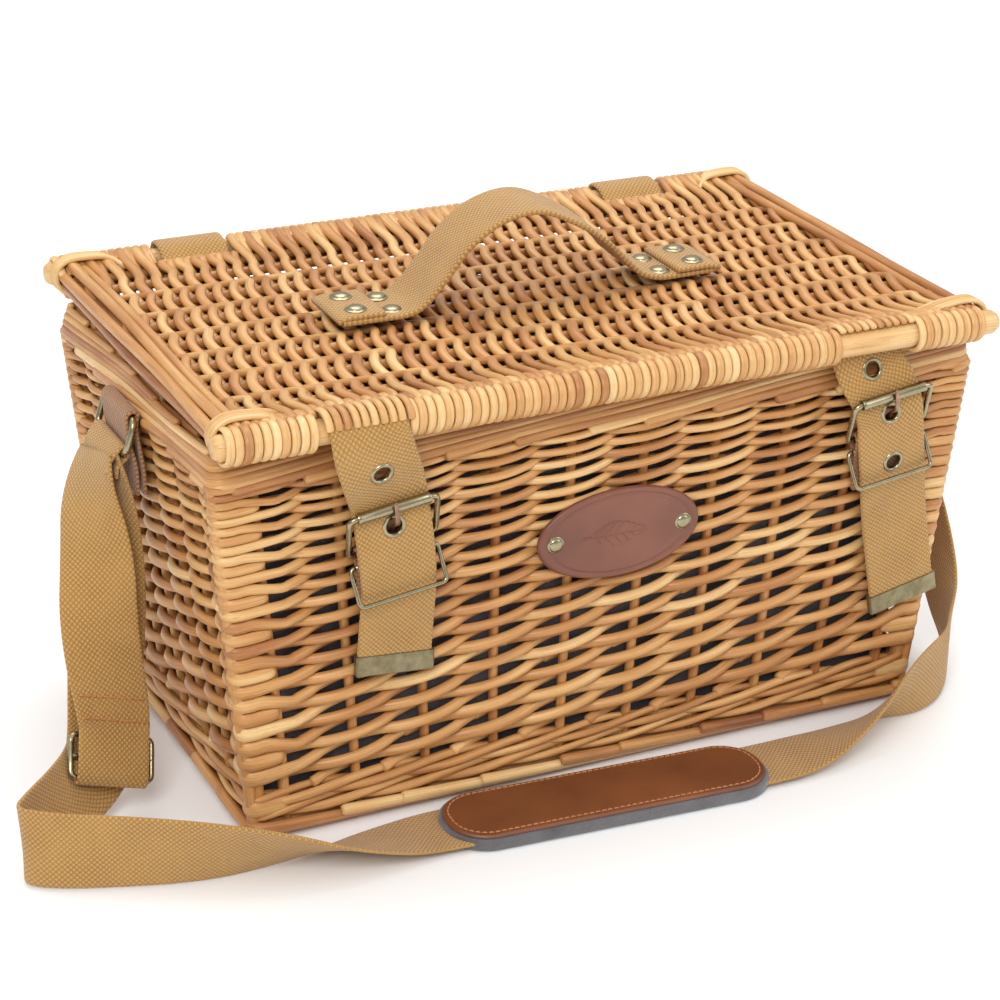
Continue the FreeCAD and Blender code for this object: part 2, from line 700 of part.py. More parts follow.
def closure_strap(side, closure):
    """A strap with its eyelets and its brass tip."""
    thickness, width = dim("webbing_thickness"), dim("webbing_width")
    level_above, tilted_below = 216.0, 202.0
    points, across = [Vector(*point) for point in closure["route"]], []
    for point in points:
        share = min(1.0, max(0.0, (level_above - point.z) / (level_above - tilted_below)))
        lean = math.radians(closure["tilt"] * share)
        across.append(Vector(math.cos(lean), 0, math.sin(lean)))
    sections = band_sections(points, across)
    band = twisting_band(sections, thickness, width)
    inner, outer = dim("eyelet_inner_radius"), dim("eyelet_outer_radius")
    neck = inner + 0.8
    rim_height = 0.45
    rim_out = thickness / 2 + 0.5 + rim_height
    rings = []
    for index in closure["eyelets"]:
        centre, along, side_way = sections[index]
        normal = side_way.cross(along).normalize()
        band = band.cut(Part.makeCylinder(neck + 0.3, 12, centre.sub(normal * 6), normal))
        ring = Part.makeCylinder(neck, 2 * rim_out, centre.sub(normal * rim_out), normal)
        for face in (-1, 1):
            foot = centre.add(normal * (face * (rim_out - rim_height)))
            ring = ring.fuse(Part.makeCylinder(outer, rim_height, foot, normal * face))
        rings.append(ring.cut(Part.makeCylinder(inner, 12, centre.sub(normal * 6), normal)))
    feature(f"{side}_closure_strap", band)
    feature(f"{side}_eyelets", Part.makeCompound(rings))

    end, along, side_way = sections[-1]
    normal = side_way.cross(along).normalize()
    basis = FreeCAD.Rotation(side_way, normal, Vector(along).negative(), "ZXY")
    height, wall, room = dim("tip_height"), 0.7, 0.3
    inside_x, inside_y = width / 2 + room, thickness / 2 + room
    shell = Part.makeBox(2 * (inside_x + wall), 2 * (inside_y + wall), height,
                         Vector(-inside_x - wall, -inside_y - wall, -wall - room))
    pocket = Part.makeBox(2 * inside_x, 2 * inside_y, height + 1, Vector(-inside_x, -inside_y, -room))
    feature(f"{side}_strap_tip", shell.cut(pocket), FreeCAD.Placement(end, basis))


def closures():
    for side, closure in CLOSURES.items():
        x, z = closure["bar"]
        place = front_placement(x, z, closure["tilt"])
        buckle_tab(side, place)
        buckle_frame(side, place)
        buckle_roller(side, place)
        buckle_prong(side, place)
        buckle_keeper(side, place)
        closure_strap(side, closure)


# ---------------------------------------------------------------- side rings and shoulder strap

RING_LEAN = 5.5  # how far the ring's lower bar stands out beyond its upper bar


def ring_corners(side):
    half = dim("ring_inside_width") / 2 + dim("wire_radius")
    x, z = dim("ring_offset"), dim("ring_height")
    low_x, low_z = x + RING_LEAN, z - dim("ring_bar_spacing")
    return [Vector(side * x, -half, z), Vector(side * low_x, -half, low_z),
            Vector(side * low_x, half, low_z), Vector(side * x, half, z)]


def side_rings():
    """A wire ring at each short side, and the webbing tab that holds it."""
    wire = dim("wire_radius")
    width = dim("ring_inside_width") - 3
    x, z, ply = dim("ring_offset"), dim("ring_height"), 2.0
    clear = wire + 0.2
    for label, side in (("left", -1), ("right", 1)):
        loop = Part.makeCylinder(clear + ply, width, Vector(side * x, -width / 2, z), Vector(0, 1, 0))
        bore = Part.makeCylinder(clear, width + 2, Vector(side * x, -width / 2 - 1, z), Vector(0, 1, 0))
        bottom = dim("tab_bottom")
        top_x, low_x = outer_length(z) + 0.3, outer_length(bottom) + 0.3
        corners = [Vector(side * top_x, -width / 2, z), Vector(side * (x + clear + 0.2), -width / 2, z - clear),
                   Vector(side * (low_x + 5.4), -width / 2, bottom), Vector(side * low_x, -width / 2, bottom)]
        tail = Part.Face(Part.makePolygon(corners + corners[:1])).extrude(Vector(0, width, 0))
        feature(f"{label}_ring_tab", loop.fuse(tail).cut(bore).removeSplitter())
        feature(f"{label}_ring", wire_rectangle(ring_corners(side), wire))


# the shoulder strap's route, from the left ring to the right one: each point and its width direction
LEFT_DROP = [((-225.5, 0, 177), (0, 1, 0)), ((-227, -4, 160), (-0.35, 0.93, -0.1)),
             ((-231, -12, 130), (-0.75, 0.62, 0)), ((-236, -24, 95), (-0.97, 0.2, 0.1)),
             ((-242, -35, 62), (-1, 0, 0.2)), ((-246, -42, 34), (-1, 0, 0.32))]
LEFT_FLOOR = [((-246, -42, 34), (-1, 0, 0.32)), ((-256, -52, 24), (-0.85, -0.1, 0.55)),
              ((-275, -68, 21), (-0.4, 0.1, 0.9)), ((-297, -84, 20.5), (0, 0.1, 1)),
              ((-307, -97, 20.5), (0, 0.25, 1)), ((-293, -109, 20.5), (0, 0.15, 1)),
              ((-262, -123, 20.5), (0, 0, 1)), ((-229, -137, 20), (0, -0.25, 1)),
              ((-195, -146, 17.5), (0, -0.65, 0.9)), ((-160, -148, 10), (0, -1, 0.5)),
              ((-128, -146, 4), (0, -1, 0.12)), ((-100, -147, 3), (0, -1, 0))]
PAD_RUN = [((-100, -147, 3), (0, -1, 0)), ((76, -147, 3), (0, -1, 0))]
RIGHT_FLOOR = [((76, -147, 3), (0, -1, 0)), ((105, -148, 4), (0, -1, 0.05)),
               ((133, -145.5, 9.5), (0, -1, 0.45)), ((152, -142.5, 15), (0, -0.85, 0.8)),
               ((171, -137.5, 19.8), (0, -0.4, 1)), ((192, -131, 21), (0, 0, 1)),
               ((213, -118, 21), (0, 0, 1)), ((228, -98, 27), (-0.2, -0.25, 0.9)),
               ((236, -76, 46), (0, -0.75, 0.65))]
RIGHT_RISE = [((236, -76, 46), (0, -0.75, 0.65)), ((240, -52, 78), (0, -0.85, 0.5)),
              ((237, -30, 112), (0, -0.9, 0.4)), ((229, -10, 148), (0, -1, 0.2)),
              ((225.5, 0, 177), (0, -1, 0))]
STRAP_SPANS = {
    "shoulder_strap_left_drop": LEFT_DROP,
    "shoulder_strap_left_floor": LEFT_FLOOR,
    "shoulder_strap_pad_run": PAD_RUN,
    "shoulder_strap_right_floor": RIGHT_FLOOR,
    "shoulder_strap_right_rise": RIGHT_RISE,
}
PAD_X, PAD_Y = -12.0, -147.0
ADJUSTER = (-244.2, -49.3, 41.9)       # the middle of the slide's upper bar
ADJUSTER_DOWN = (-0.55, -0.55, -0.62)  # the way it hangs


def shoulder_strap():
    """The long webbing in five spans that meet end to end."""
    thickness, width = dim("strap_ply"), dim("webbing_width") - 0.6
    route = LEFT_DROP + LEFT_FLOOR[1:] + PAD_RUN[1:] + RIGHT_FLOOR[1:] + RIGHT_RISE[1:]
    points = [Vector(*centre) for centre, _ in route]
    sections = band_sections(points, [Vector(*direction) for _, direction in route])
    total, first = 0.0, 0
    for label, span in STRAP_SPANS.items():
        last = first + len(span)
        band = twisting_band(sections[first:last], thickness, width)
        run = sum(b.sub(a).Length for a, b in zip(points[first:last], points[first + 1:last]))
        total += run
        first = last - 1
        print(f"{label}: run {run:.0f} mm, volume share {band.Volume / (run * width * thickness):.3f}")
        feature(label, band)
    print(f"shoulder strap, ring to ring: {total:.0f} mm")


def return_ply():
    """The webbing's sewn end: from the left ring down the outside of the drop to the adjuster."""
    edge_gap, belly = 4.9, 10.5
    drop = LEFT_DROP[:-1] + [((-244.7, -39.5, 44), (-1, 0, 0.3))]
    points, across = [], []
    for i, (centre, direction) in enumerate(drop):
        spread = edge_gap + belly * math.sin(math.pi * i / (len(drop) - 1))
        outward = Vector(-0.55, -0.83, 0) if i > 1 else Vector(-1, -0.1, 0)
        points.append(Vector(*centre).add(outward.normalize().multiply(spread)))
        across.append(Vector(*direction))
    band = twisting_band(band_sections(points, across), dim("strap_ply"), dim("webbing_width") - 0.6)
    feature("shoulder_strap_return_ply", band)


def strap_adjuster():
    """A wire slide with a middle bar, in front of both plies of the strap."""
    wire, side_gap = 1.2, 0.8
    half = dim("webbing_width") / 2 + wire + side_gap
    height = dim("adjuster_height")
    corners = [Vector(-half, 0, 0), Vector(half, 0, 0), Vector(half, 0, -height), Vector(-half, 0, -height)]
    loop = wire_rectangle(corners, wire)
    bar = Part.makeCylinder(wire, 2 * half, Vector(-half, 0, -height / 2), Vector(1, 0, 0))
    right_way = Vector(1, 0.03, -0.32).normalize()
    down = Vector(*ADJUSTER_DOWN)
    down = down.sub(right_way * down.dot(right_way)).normalize()
    facing = right_way.cross(down).normalize()
    basis = FreeCAD.Rotation(right_way, facing.negative(), down.negative(), "XZY")
    place = FreeCAD.Placement(Vector(*ADJUSTER), basis)
    feature("strap_adjuster", loop.fuse(bar).removeSplitter(), place)


def rounded_plate(length, width, thickness, x, y, z):
    """A plate with rounded corners, its foot centred at a point."""
    radius = 0.46 * width
    plate = Part.makeBox(length, width, thickness, Vector(x - length / 2, y - width / 2, z))
    upright = [edge for edge in plate.Edges if abs(edge.tangentAt(edge.FirstParameter).z) > 0.99]
    return plate.makeFillet(radius, upright)


def shoulder_pad():
    """A leather strip over felt, sewn together, with a passage for the strap between them."""
    length, width = dim("pad_length"), dim("pad_width")
    felt_height, cover = dim("felt_thickness"), dim("leather_thickness")
    felt = rounded_plate(length, width, felt_height, PAD_X, PAD_Y, 0)
    play = 0.8
    room_x, room_y, room_z = length + 4, dim("webbing_width") + 2 * play, dim("strap_ply") + play
    strap_z = PAD_RUN[0][0][2]
    passage = Part.makeBox(room_x, room_y, room_z,
                           Vector(PAD_X - room_x / 2, PAD_Y - room_y / 2, strap_z - room_z / 2))
    feature("pad_felt", felt.cut(passage))
    feature("pad_leather", rounded_plate(length - 5, width - 5, cover, PAD_X, PAD_Y, felt_height + 0.05))


# ---------------------------------------------------------------- making and writing

def build():
    base_panel()
    foot_border()
    walls()
    corner_posts()
    top_border()
    fabric_lining()
    name_patch()
    lid_rails()
    lid_stakes()
    lid_weave()
    lid_side_rods()
    lid_corner_ties()
    carry_handle()
    hinge_straps()
    closures()
    side_rings()
    shoulder_strap()
    return_ply()
    strap_adjuster()
    shoulder_pad()


def check_and_write():
    doc.recompute()
    for obj in doc.Objects:
        if "Invalid" in obj.State or "Error" in obj.State:
            raise RuntimeError(f"{obj.Label} failed: {obj.State}")
    os.makedirs("parts", exist_ok=True)
    for name in os.listdir("parts"):
        if name.endswith(".step"):
            os.remove(os.path.join("parts", name))
    for piece in PARTS:
        shape = piece.Shape
        if shape.isNull() or not shape.isValid() or shape.Volume <= 0:
            raise RuntimeError(f"{piece.Label}: the shape is empty or invalid")
        shape.exportStep(f"parts/{piece.Label}.step")
    print(f"{len(PARTS)} nodes written")


build()
check_and_write()
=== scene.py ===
"""Looks of the wicker picnic basket: willow rods, webbing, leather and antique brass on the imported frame."""
import math
import random

import bpy
import numpy as np
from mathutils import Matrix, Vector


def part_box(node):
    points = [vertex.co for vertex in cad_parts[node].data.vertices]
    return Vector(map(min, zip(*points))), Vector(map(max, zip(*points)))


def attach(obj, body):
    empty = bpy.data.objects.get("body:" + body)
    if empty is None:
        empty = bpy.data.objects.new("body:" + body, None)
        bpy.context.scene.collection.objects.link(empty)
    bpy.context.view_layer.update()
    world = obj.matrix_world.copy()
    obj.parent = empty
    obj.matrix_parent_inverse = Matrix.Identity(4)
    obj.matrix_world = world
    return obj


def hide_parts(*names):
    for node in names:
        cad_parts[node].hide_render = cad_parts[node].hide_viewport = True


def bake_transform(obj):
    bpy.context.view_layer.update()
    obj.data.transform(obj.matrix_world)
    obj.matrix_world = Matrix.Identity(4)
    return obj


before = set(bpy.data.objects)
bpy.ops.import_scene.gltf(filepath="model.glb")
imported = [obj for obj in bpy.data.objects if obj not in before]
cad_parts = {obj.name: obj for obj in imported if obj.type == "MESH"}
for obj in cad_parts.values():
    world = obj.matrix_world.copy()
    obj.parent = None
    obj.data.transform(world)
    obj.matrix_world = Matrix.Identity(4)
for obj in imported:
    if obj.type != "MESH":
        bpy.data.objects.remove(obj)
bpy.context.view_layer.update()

MM = 0.001
rng = random.Random(11)


def cad_box(node):
    """A CAD node's lowest and highest corner, in millimetres."""
    low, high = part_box(node)
    return np.array(low) / MM, np.array(high) / MM


# ---------------------------------------------------------------- sizes, in millimetres, from the frame

BORDER_LOW, BORDER_HIGH = cad_box("top_border")
RIM_Z, BORDER_Z = BORDER_LOW[2], BORDER_HIGH[2]
PANEL_HALF = cad_box("base_panel")[1]
POST = 10.0                                            # the corner posts' width
BASE_HALF = np.array([PANEL_HALF[0] + POST, PANEL_HALF[1] + POST])
RIM_HALF = np.array([cad_box("right_wall")[1][0], -cad_box("front_wall")[0][1]])
RAIL_LOW, RAIL_HIGH = cad_box("lid_front_rail")
RAIL_Y = -(RAIL_LOW[1] + RAIL_HIGH[1]) / 2             # both rails' distance from the middle
RAIL_Z = (RAIL_LOW[2] + RAIL_HIGH[2]) / 2
RAIL_R = (RAIL_HIGH[2] - RAIL_LOW[2]) / 2
LID_HALF = RAIL_HIGH[0]
WEAVE_HALF = cad_box("lid_weave")[1][0]
FRONT_NOTCH_X, BACK_NOTCH_X, NOTCH_HALF = 140.0, 134.0, 22.0
NOTCH_BAR_Y = 111.5
BASE_Z = 5.2                                           # the middle of the base's weave
STAKE_PITCH, STAKE_ROWS = 31.0, (-3, -2, -1, 0, 1, 2, 3)
WEBBING = 40.0


def half_size(z):
    """The body's outer half length and half depth at heights z."""
    share = np.asarray(z, float)[..., None] / RIM_Z
    return BASE_HALF + (RIM_HALF - BASE_HALF) * share


# ---------------------------------------------------------------- materials

def node_tree(name):
    material = bpy.data.materials.new(name)
    material.use_nodes = True
    tree = material.node_tree
    return material, tree, tree.nodes["Principled BSDF"]


def link(tree, source, target):
    tree.links.new(source, target)


def add(tree, kind, **settings):
    node = tree.nodes.new(kind)
    for key, value in settings.items():
        setattr(node, key, value)
    return node


def feed(tree, socket, value):
    """Puts another node's output, a number or a colour into an input."""
    if isinstance(value, bpy.types.NodeSocket):
        link(tree, value, socket)
    elif isinstance(value, tuple):
        socket.default_value = (*value, 1.0)
    else:
        socket.default_value = value


def tune(shader, values):
    """Sets a node's inputs by name."""
    for name, value in values.items():
        shader.inputs[name].default_value = value


def ramp(tree, source, stops):
    """A colour ramp over a value, its stops given as (position, colour)."""
    node = add(tree, "ShaderNodeValToRGB")
    elements = node.color_ramp.elements
    while len(elements) < len(stops):
        elements.new(0.5)
    for element, (position, colour) in zip(elements, stops):
        element.position = position
        element.color = (*colour, 1.0)
    link(tree, source, node.inputs["Fac"])
    return node.outputs["Color"]


def noise(tree, vector, scale, detail=3.0, roughness=0.5):
    node = add(tree, "ShaderNodeTexNoise")
    tune(node, {"Scale": scale, "Detail": detail, "Roughness": roughness})
    link(tree, vector, node.inputs["Vector"])
    return node.outputs["Fac"]


def mapped(tree, vector, scale):
    node = add(tree, "ShaderNodeMapping")
    node.inputs["Scale"].default_value = scale
    link(tree, vector, node.inputs["Vector"])
    return node.outputs["Vector"]


def mix(tree, factor, a, b, blend="MIX"):
    """Mixes two colours; each argument is a socket or a constant."""
    node = add(tree, "ShaderNodeMix", data_type="RGBA", blend_type=blend)
    for place, value in ((0, factor), (6, a), (7, b)):
        feed(tree, node.inputs[place], value)
    return node.outputs[2]


def calc(tree, operation, a, b=0.0, clamp=False):
    node = add(tree, "ShaderNodeMath", operation=operation, use_clamp=clamp)
    for socket, value in zip(node.inputs, (a, b)):
        feed(tree, socket, value)
    return node.outputs[0]


def bump(tree, shader, height, strength, distance):
    node = add(tree, "ShaderNodeBump")
    tune(node, {"Strength": strength, "Distance": distance})
    link(tree, height, node.inputs["Height"])
    link(tree, node.outputs["Normal"], shader.inputs["Normal"])


def willow(name, stops, gloss):
    """Varnished willow: each rod has its own tone, with fine streaks along it and darker marks."""
    material, tree, shader = node_tree(name)
    tone = add(tree, "ShaderNodeAttribute", attribute_name="tone").outputs["Fac"]
    grain = add(tree, "ShaderNodeAttribute", attribute_name="grain").outputs["Vector"]
    streak = noise(tree, mapped(tree, grain, (9.0, 2.2, 2.2)), 3.0, 4.0, 0.6)
    cloud = noise(tree, mapped(tree, grain, (22.0, 0.5, 0.5)), 1.0, 2.0)
    value = calc(tree, "ADD", tone, calc(tree, "MULTIPLY", calc(tree, "SUBTRACT", cloud, 0.5), 0.9))
    colour = ramp(tree, value, stops)
    light = ramp(tree, streak, [(0.30, (0.62, 0.50, 0.40)), (0.50, (0.97, 0.96, 0.94)),
                                (0.78, (1.0, 1.0, 1.0))])
    colour = mix(tree, 0.75, colour, light, "MULTIPLY")
    marks = noise(tree, mapped(tree, grain, (60.0, 3.0, 3.0)), 2.5, 2.0)
    spots = ramp(tree, marks, [(0.26, (0.30, 0.16, 0.07)), (0.33, (1.0, 1.0, 1.0))])
    colour = mix(tree, 0.55, colour, spots, "MULTIPLY")
    link(tree, colour, shader.inputs["Base Color"])
    rough = ramp(tree, streak, [(0.2, (0.52, 0.52, 0.52)), (0.8, (0.34, 0.34, 0.34))])
    link(tree, rough, shader.inputs["Roughness"])
    tune(shader, {"Coat Weight": gloss, "Coat Roughness": 0.24, "Specular IOR Level": 0.45})
    bump(tree, shader, streak, 0.35, 0.0004)
    return material


def webbing(name, light, dark, pitch=1.2):
    """Cotton webbing: offset rows of small raised threads over the piece's own flat coordinates; the colour
    follows the thread height, with painted shade in the grooves and painted light on the raised threads, mixed
    with random wear.
    """
    material, tree, shader = node_tree(name)
    flat = add(tree, "ShaderNodeUVMap").outputs["UV"]
    split = add(tree, "ShaderNodeSeparateXYZ")
    link(tree, flat, split.inputs["Vector"])
    waves = []
    for axis, step in (("X", pitch * 1.05), ("Y", pitch)):
        phase = calc(tree, "MULTIPLY", split.outputs[axis], math.pi / (step * MM))
        waves.append(calc(tree, "COSINE", phase))
    threads = calc(tree, "ABSOLUTE", calc(tree, "ADD", waves[0], waves[1]))
    threads = calc(tree, "MULTIPLY", threads, 0.5)
    fuzz = noise(tree, flat, 2600.0, 2.0)
    wear = noise(tree, flat, 45.0, 3.0)
    height = calc(tree, "ADD", threads, calc(tree, "MULTIPLY", fuzz, 0.35))
    # painted shade and light: the colour follows the thread height, so the grooves are darker and the raised
    # threads lighter; the wear noise is the webbing's own uneven colour
    value = calc(tree, "ADD", calc(tree, "MULTIPLY", height, 0.75), calc(tree, "MULTIPLY", wear, 0.35))
    colour = ramp(tree, value, [(0.18, dark), (0.62, light), (1.0, tuple(min(1.0, c * 1.18) for c in light))])
    link(tree, colour, shader.inputs["Base Color"])
    tune(shader, {"Roughness": 0.82, "Specular IOR Level": 0.25, "Sheen Weight": 0.25,
                  "Sheen Roughness": 0.5})
    bump(tree, shader, height, 0.9, 0.0005)
    return material


def metal(name, colour, worn, roughness):
    """Antique brass: dark in patches, rubbed brighter elsewhere."""
    material, tree, shader = node_tree(name)
    place = add(tree, "ShaderNodeTexCoord").outputs["Object"]
    patches = noise(tree, place, 180.0, 4.0, 0.6)
    link(tree, ramp(tree, patches, [(0.35, colour), (0.68, worn)]), shader.inputs["Base Color"])
    fine = noise(tree, place, 900.0, 2.0)
    rough = calc(tree, "ADD", calc(tree, "MULTIPLY", fine, 0.18), roughness - 0.09)
    link(tree, rough, shader.inputs["Roughness"])
    shader.inputs["Metallic"].default_value = 1.0
    bump(tree, shader, fine, 0.05, 0.0002)
    return material


def leather(name, light, dark, gloss, grain_scale):
    material, tree, shader = node_tree(name)
    place = add(tree, "ShaderNodeTexCoord").outputs["Object"]
    tone = noise(tree, place, 22.0, 4.0, 0.55)
    link(tree, ramp(tree, tone, [(0.3, dark), (0.7, light)]), shader.inputs["Base Color"])
    cells = add(tree, "ShaderNodeTexVoronoi", feature="DISTANCE_TO_EDGE")
    cells.inputs["Scale"].default_value = grain_scale
    link(tree, place, cells.inputs["Vector"])
    pores = calc(tree, "MULTIPLY", cells.outputs["Distance"], 2.0, clamp=True)
    wrinkle = calc(tree, "ADD", pores, calc(tree, "MULTIPLY", noise(tree, place, 420.0, 3.0), 0.6))
    tune(shader, {"Roughness": 0.44, "Coat Weight": gloss, "Coat Roughness": 0.3})
    bump(tree, shader, wrinkle, 0.28, 0.0003)
    return material


def cloth(name, light, dark, scale, strength):
    material, tree, shader = node_tree(name)
    place = add(tree, "ShaderNodeTexCoord").outputs["Object"]
    fibres = noise(tree, place, scale, 4.0, 0.7)
    patches = noise(tree, place, scale * 0.04, 2.0)
    value = calc(tree, "ADD", calc(tree, "MULTIPLY", fibres, 0.6), calc(tree, "MULTIPLY", patches, 0.4))
    link(tree, ramp(tree, value, [(0.35, dark), (0.65, light)]), shader.inputs["Base Color"])
    tune(shader, {"Roughness": 0.95, "Sheen Weight": 0.4})
    bump(tree, shader, fibres, strength, 0.0006)
    return material


WILLOW_STOPS = [(0.0, (0.25, 0.080, 0.020)), (0.22, (0.38, 0.145, 0.040)), (0.55, (0.56, 0.27, 0.085)),
                (0.80, (0.69, 0.40, 0.15)), (1.0, (0.78, 0.53, 0.24))]
PALE_STOPS = [(0.0, (0.42, 0.175, 0.050)), (0.35, (0.60, 0.31, 0.105)), (0.70, (0.72, 0.44, 0.175)),
              (1.0, (0.80, 0.56, 0.27))]
WILLOW = willow("willow", WILLOW_STOPS, 0.22)
PALE_WILLOW = willow("pale_willow", PALE_STOPS, 0.32)
TAPE = webbing("cotton_webbing", (0.47, 0.265, 0.080), (0.24, 0.118, 0.030), 1.35)
RED_TAPE = webbing("webbing_tabs", (0.36, 0.175, 0.072), (0.15, 0.065, 0.026))
BRASS = metal("antique_brass", (0.32, 0.275, 0.17), (0.40, 0.35, 0.22), 0.25)
PRONG_METAL = metal("copper_prong", (0.26, 0.15, 0.10), (0.45, 0.30, 0.21), 0.34)
TIP_METAL = metal("brushed_tip", (0.23, 0.195, 0.11), (0.36, 0.315, 0.19), 0.50)
PATCH_LEATHER = leather("patch_leather", (0.225, 0.078, 0.044), (0.150, 0.048, 0.027), 0.15, 900.0)
PAD_LEATHER = leather("strap_pad_leather", (0.215, 0.066, 0.020), (0.135, 0.038, 0.012), 0.35, 700.0)
FELT = cloth("grey_felt", (0.17, 0.16, 0.165), (0.075, 0.07, 0.075), 1500.0, 0.7)
# painted shade: the lining cloth is darkened well below its own grey-blue, standing in for the shade seen
# between the wall rods
LINING_WITH_PAINTED_SHADE = cloth("lining_cloth", (0.115, 0.11, 0.125), (0.055, 0.05, 0.06), 900.0, 0.4)
THREAD = cloth("orange_thread", (0.62, 0.24, 0.05), (0.42, 0.14, 0.03), 2500.0, 0.5)


# ---------------------------------------------------------------- mesh helpers

def unit(vectors):
    vectors = np.asarray(vectors, float)
    return vectors / np.maximum(np.linalg.norm(vectors, axis=-1, keepdims=True), 1e-9)


def line_at(x, y, z):
    """Points from three coordinates, each one a list or a single value for all of them."""
    return np.column_stack(np.broadcast_arrays(x, y, z))


def rod_tone(middle, spread):
    return np.clip(rng.gauss(middle, spread), 0, 1)


def run_along(line):
    """Each point's distance along its line."""
    return np.concatenate([[0], np.cumsum(np.linalg.norm(np.diff(line, axis=0), axis=1))])


def steady(direction, line):
    """One width direction for every point of a line."""
    return np.tile(direction, (len(line), 1))


def skin(rings, sides, first=0):
    """Quads between rings of points, and the two faces that close the first and the last ring."""
    index = first + np.arange(rings * sides).reshape(rings, sides)
    ahead = np.roll(index, -1, axis=1)
    quads = np.stack([index[:-1], ahead[:-1], ahead[1:], index[1:]], -1).reshape(-1, 4).tolist()
    return quads, [index[0][::-1].tolist(), index[-1].tolist()]


def solid(name, points, faces, smooth=True):
    """A mesh from points in millimetres."""
    mesh = bpy.data.meshes.new(name)
    mesh.from_pydata((np.reshape(points, (-1, 3)) * MM).tolist(), [], faces)
    if smooth:
        mesh.polygons.foreach_set("use_smooth", np.ones(len(faces), bool))
    return mesh


def spline(points, step=3.0):
    """A smooth line through control points (Catmull-Rom), about one sample every step."""
    p = np.asarray(points, float)
    p = np.vstack([2 * p[0] - p[1], p, 2 * p[-1] - p[-2]])
    out = []
    for a, b, c, d in zip(p, p[1:], p[2:], p[3:]):
        n = max(2, int(np.linalg.norm((c - b)[:3]) / step))
        t = (np.arange(n) / n)[:, None]
        out.append(0.5 * (2 * b + (c - a) * t + (2 * a - 5 * b + 4 * c - d) * t ** 2
                          + (3 * b - a - 3 * c + d) * t ** 3))
    out.append(p[-2][None])
    return np.vstack(out)


class Rods:
    """Gathers many rods into one mesh; each has its own tone and a coordinate along its grain."""

    def __init__(self):
        self.points, self.quads, self.caps, self.tones, self.grains = [], [], [], [], []
        self.count = 0

    def add(self, line, radius, face, thickness=None, tone=None, sides=8):
        """line: points in mm; face: the way the rod's flat side looks; thickness: half size that way."""
        line = np.asarray(line, float)
        radius = np.broadcast_to(np.asarray(radius, float), len(line))
        thick = radius if thickness is None else np.broadcast_to(np.asarray(thickness, float), len(line))
        along = unit(np.gradient(line, axis=0))
        end_in = 0.45 * min(radius[0], thick[0])
        end_out = 0.45 * min(radius[-1], thick[-1])
        line = np.vstack([line[0] - along[0] * end_in, line, line[-1] + along[-1] * end_out])
        radius = np.concatenate([[radius[0] * 0.72], radius, [radius[-1] * 0.72]])
        thick = np.concatenate([[thick[0] * 0.72], thick, [thick[-1] * 0.72]])
        along = np.vstack([along[:1], along, along[-1:]])
        face = np.asarray(face, float)
        if face.ndim == 2:
            face = np.vstack([face[:1], face, face[-1:]])
        side = unit(np.cross(along, np.broadcast_to(face, line.shape)))
        normal = np.cross(side, along)
        angle = np.arange(sides) * 2 * math.pi / sides
        cosine, sine = np.cos(angle)[None, :, None], np.sin(angle)[None, :, None]
        ring = (line[:, None] + cosine * (side * radius[:, None])[:, None]
                + sine * (normal * thick[:, None])[:, None])
        n = len(line)
        first = self.count
        index = first + np.arange(n * sides).reshape(n, sides)
        ahead = np.roll(index, -1, axis=1)
        self.quads.append(np.stack([index[:-1], index[1:], ahead[1:], ahead[:-1]], -1).reshape(-1, 4))
        self.caps.append(index[0])
        self.caps.append(index[-1][::-1])
        self.points.append(ring.reshape(-1, 3))
        tone = rng.random() if tone is None else tone
        self.tones.append(np.full(n * sides, tone))
        run = run_along(line) * MM
        grain = np.empty((n, sides, 3))
        shift = rng.random() * 40
        grain[..., 0] = run[:, None] + shift
        grain[..., 1] = np.cos(angle)[None] + shift
        grain[..., 2] = np.sin(angle)[None] + shift * 0.7
        self.grains.append(grain.reshape(-1, 3))
        self.count += n * sides

    def piece(self, name, body, material, slot_name, *nodes):
        points = np.vstack(self.points) * MM
        quads = np.vstack(self.quads)
        loops = np.concatenate([quads.ravel()] + self.caps)
        sizes = np.concatenate([np.full(len(quads), 4), [len(cap) for cap in self.caps]]).astype(int)
        mesh = bpy.data.meshes.new(name)
        mesh.vertices.add(len(points))
        mesh.vertices.foreach_set("co", points.astype(np.float32).ravel())
        mesh.loops.add(len(loops))
        mesh.loops.foreach_set("vertex_index", loops.astype(np.int32))
        mesh.polygons.add(len(sizes))
        mesh.polygons.foreach_set("loop_start", np.concatenate([[0], np.cumsum(sizes)[:-1]]).astype(np.int32))
        mesh.update(calc_edges=True)
        mesh.polygons.foreach_set("use_smooth", np.ones(len(sizes), bool))
        tone = mesh.attributes.new("tone", "FLOAT", "POINT")
        tone.data.foreach_set("value", np.concatenate(self.tones).astype(np.float32))
        grain = mesh.attributes.new("grain", "FLOAT_VECTOR", "POINT")
        grain.data.foreach_set("vector", np.vstack(self.grains).astype(np.float32).ravel())
        return finished(name, mesh, body, material, nodes)


def finished(name, mesh, body, material, nodes=()):
    mesh.validate()
    mesh.materials.append(material)
    obj = bpy.data.objects.new(name, mesh)
    bpy.context.scene.collection.objects.link(obj)
    if body is not None:
        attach(obj, body)
    if nodes:
        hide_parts(*nodes)
    return obj


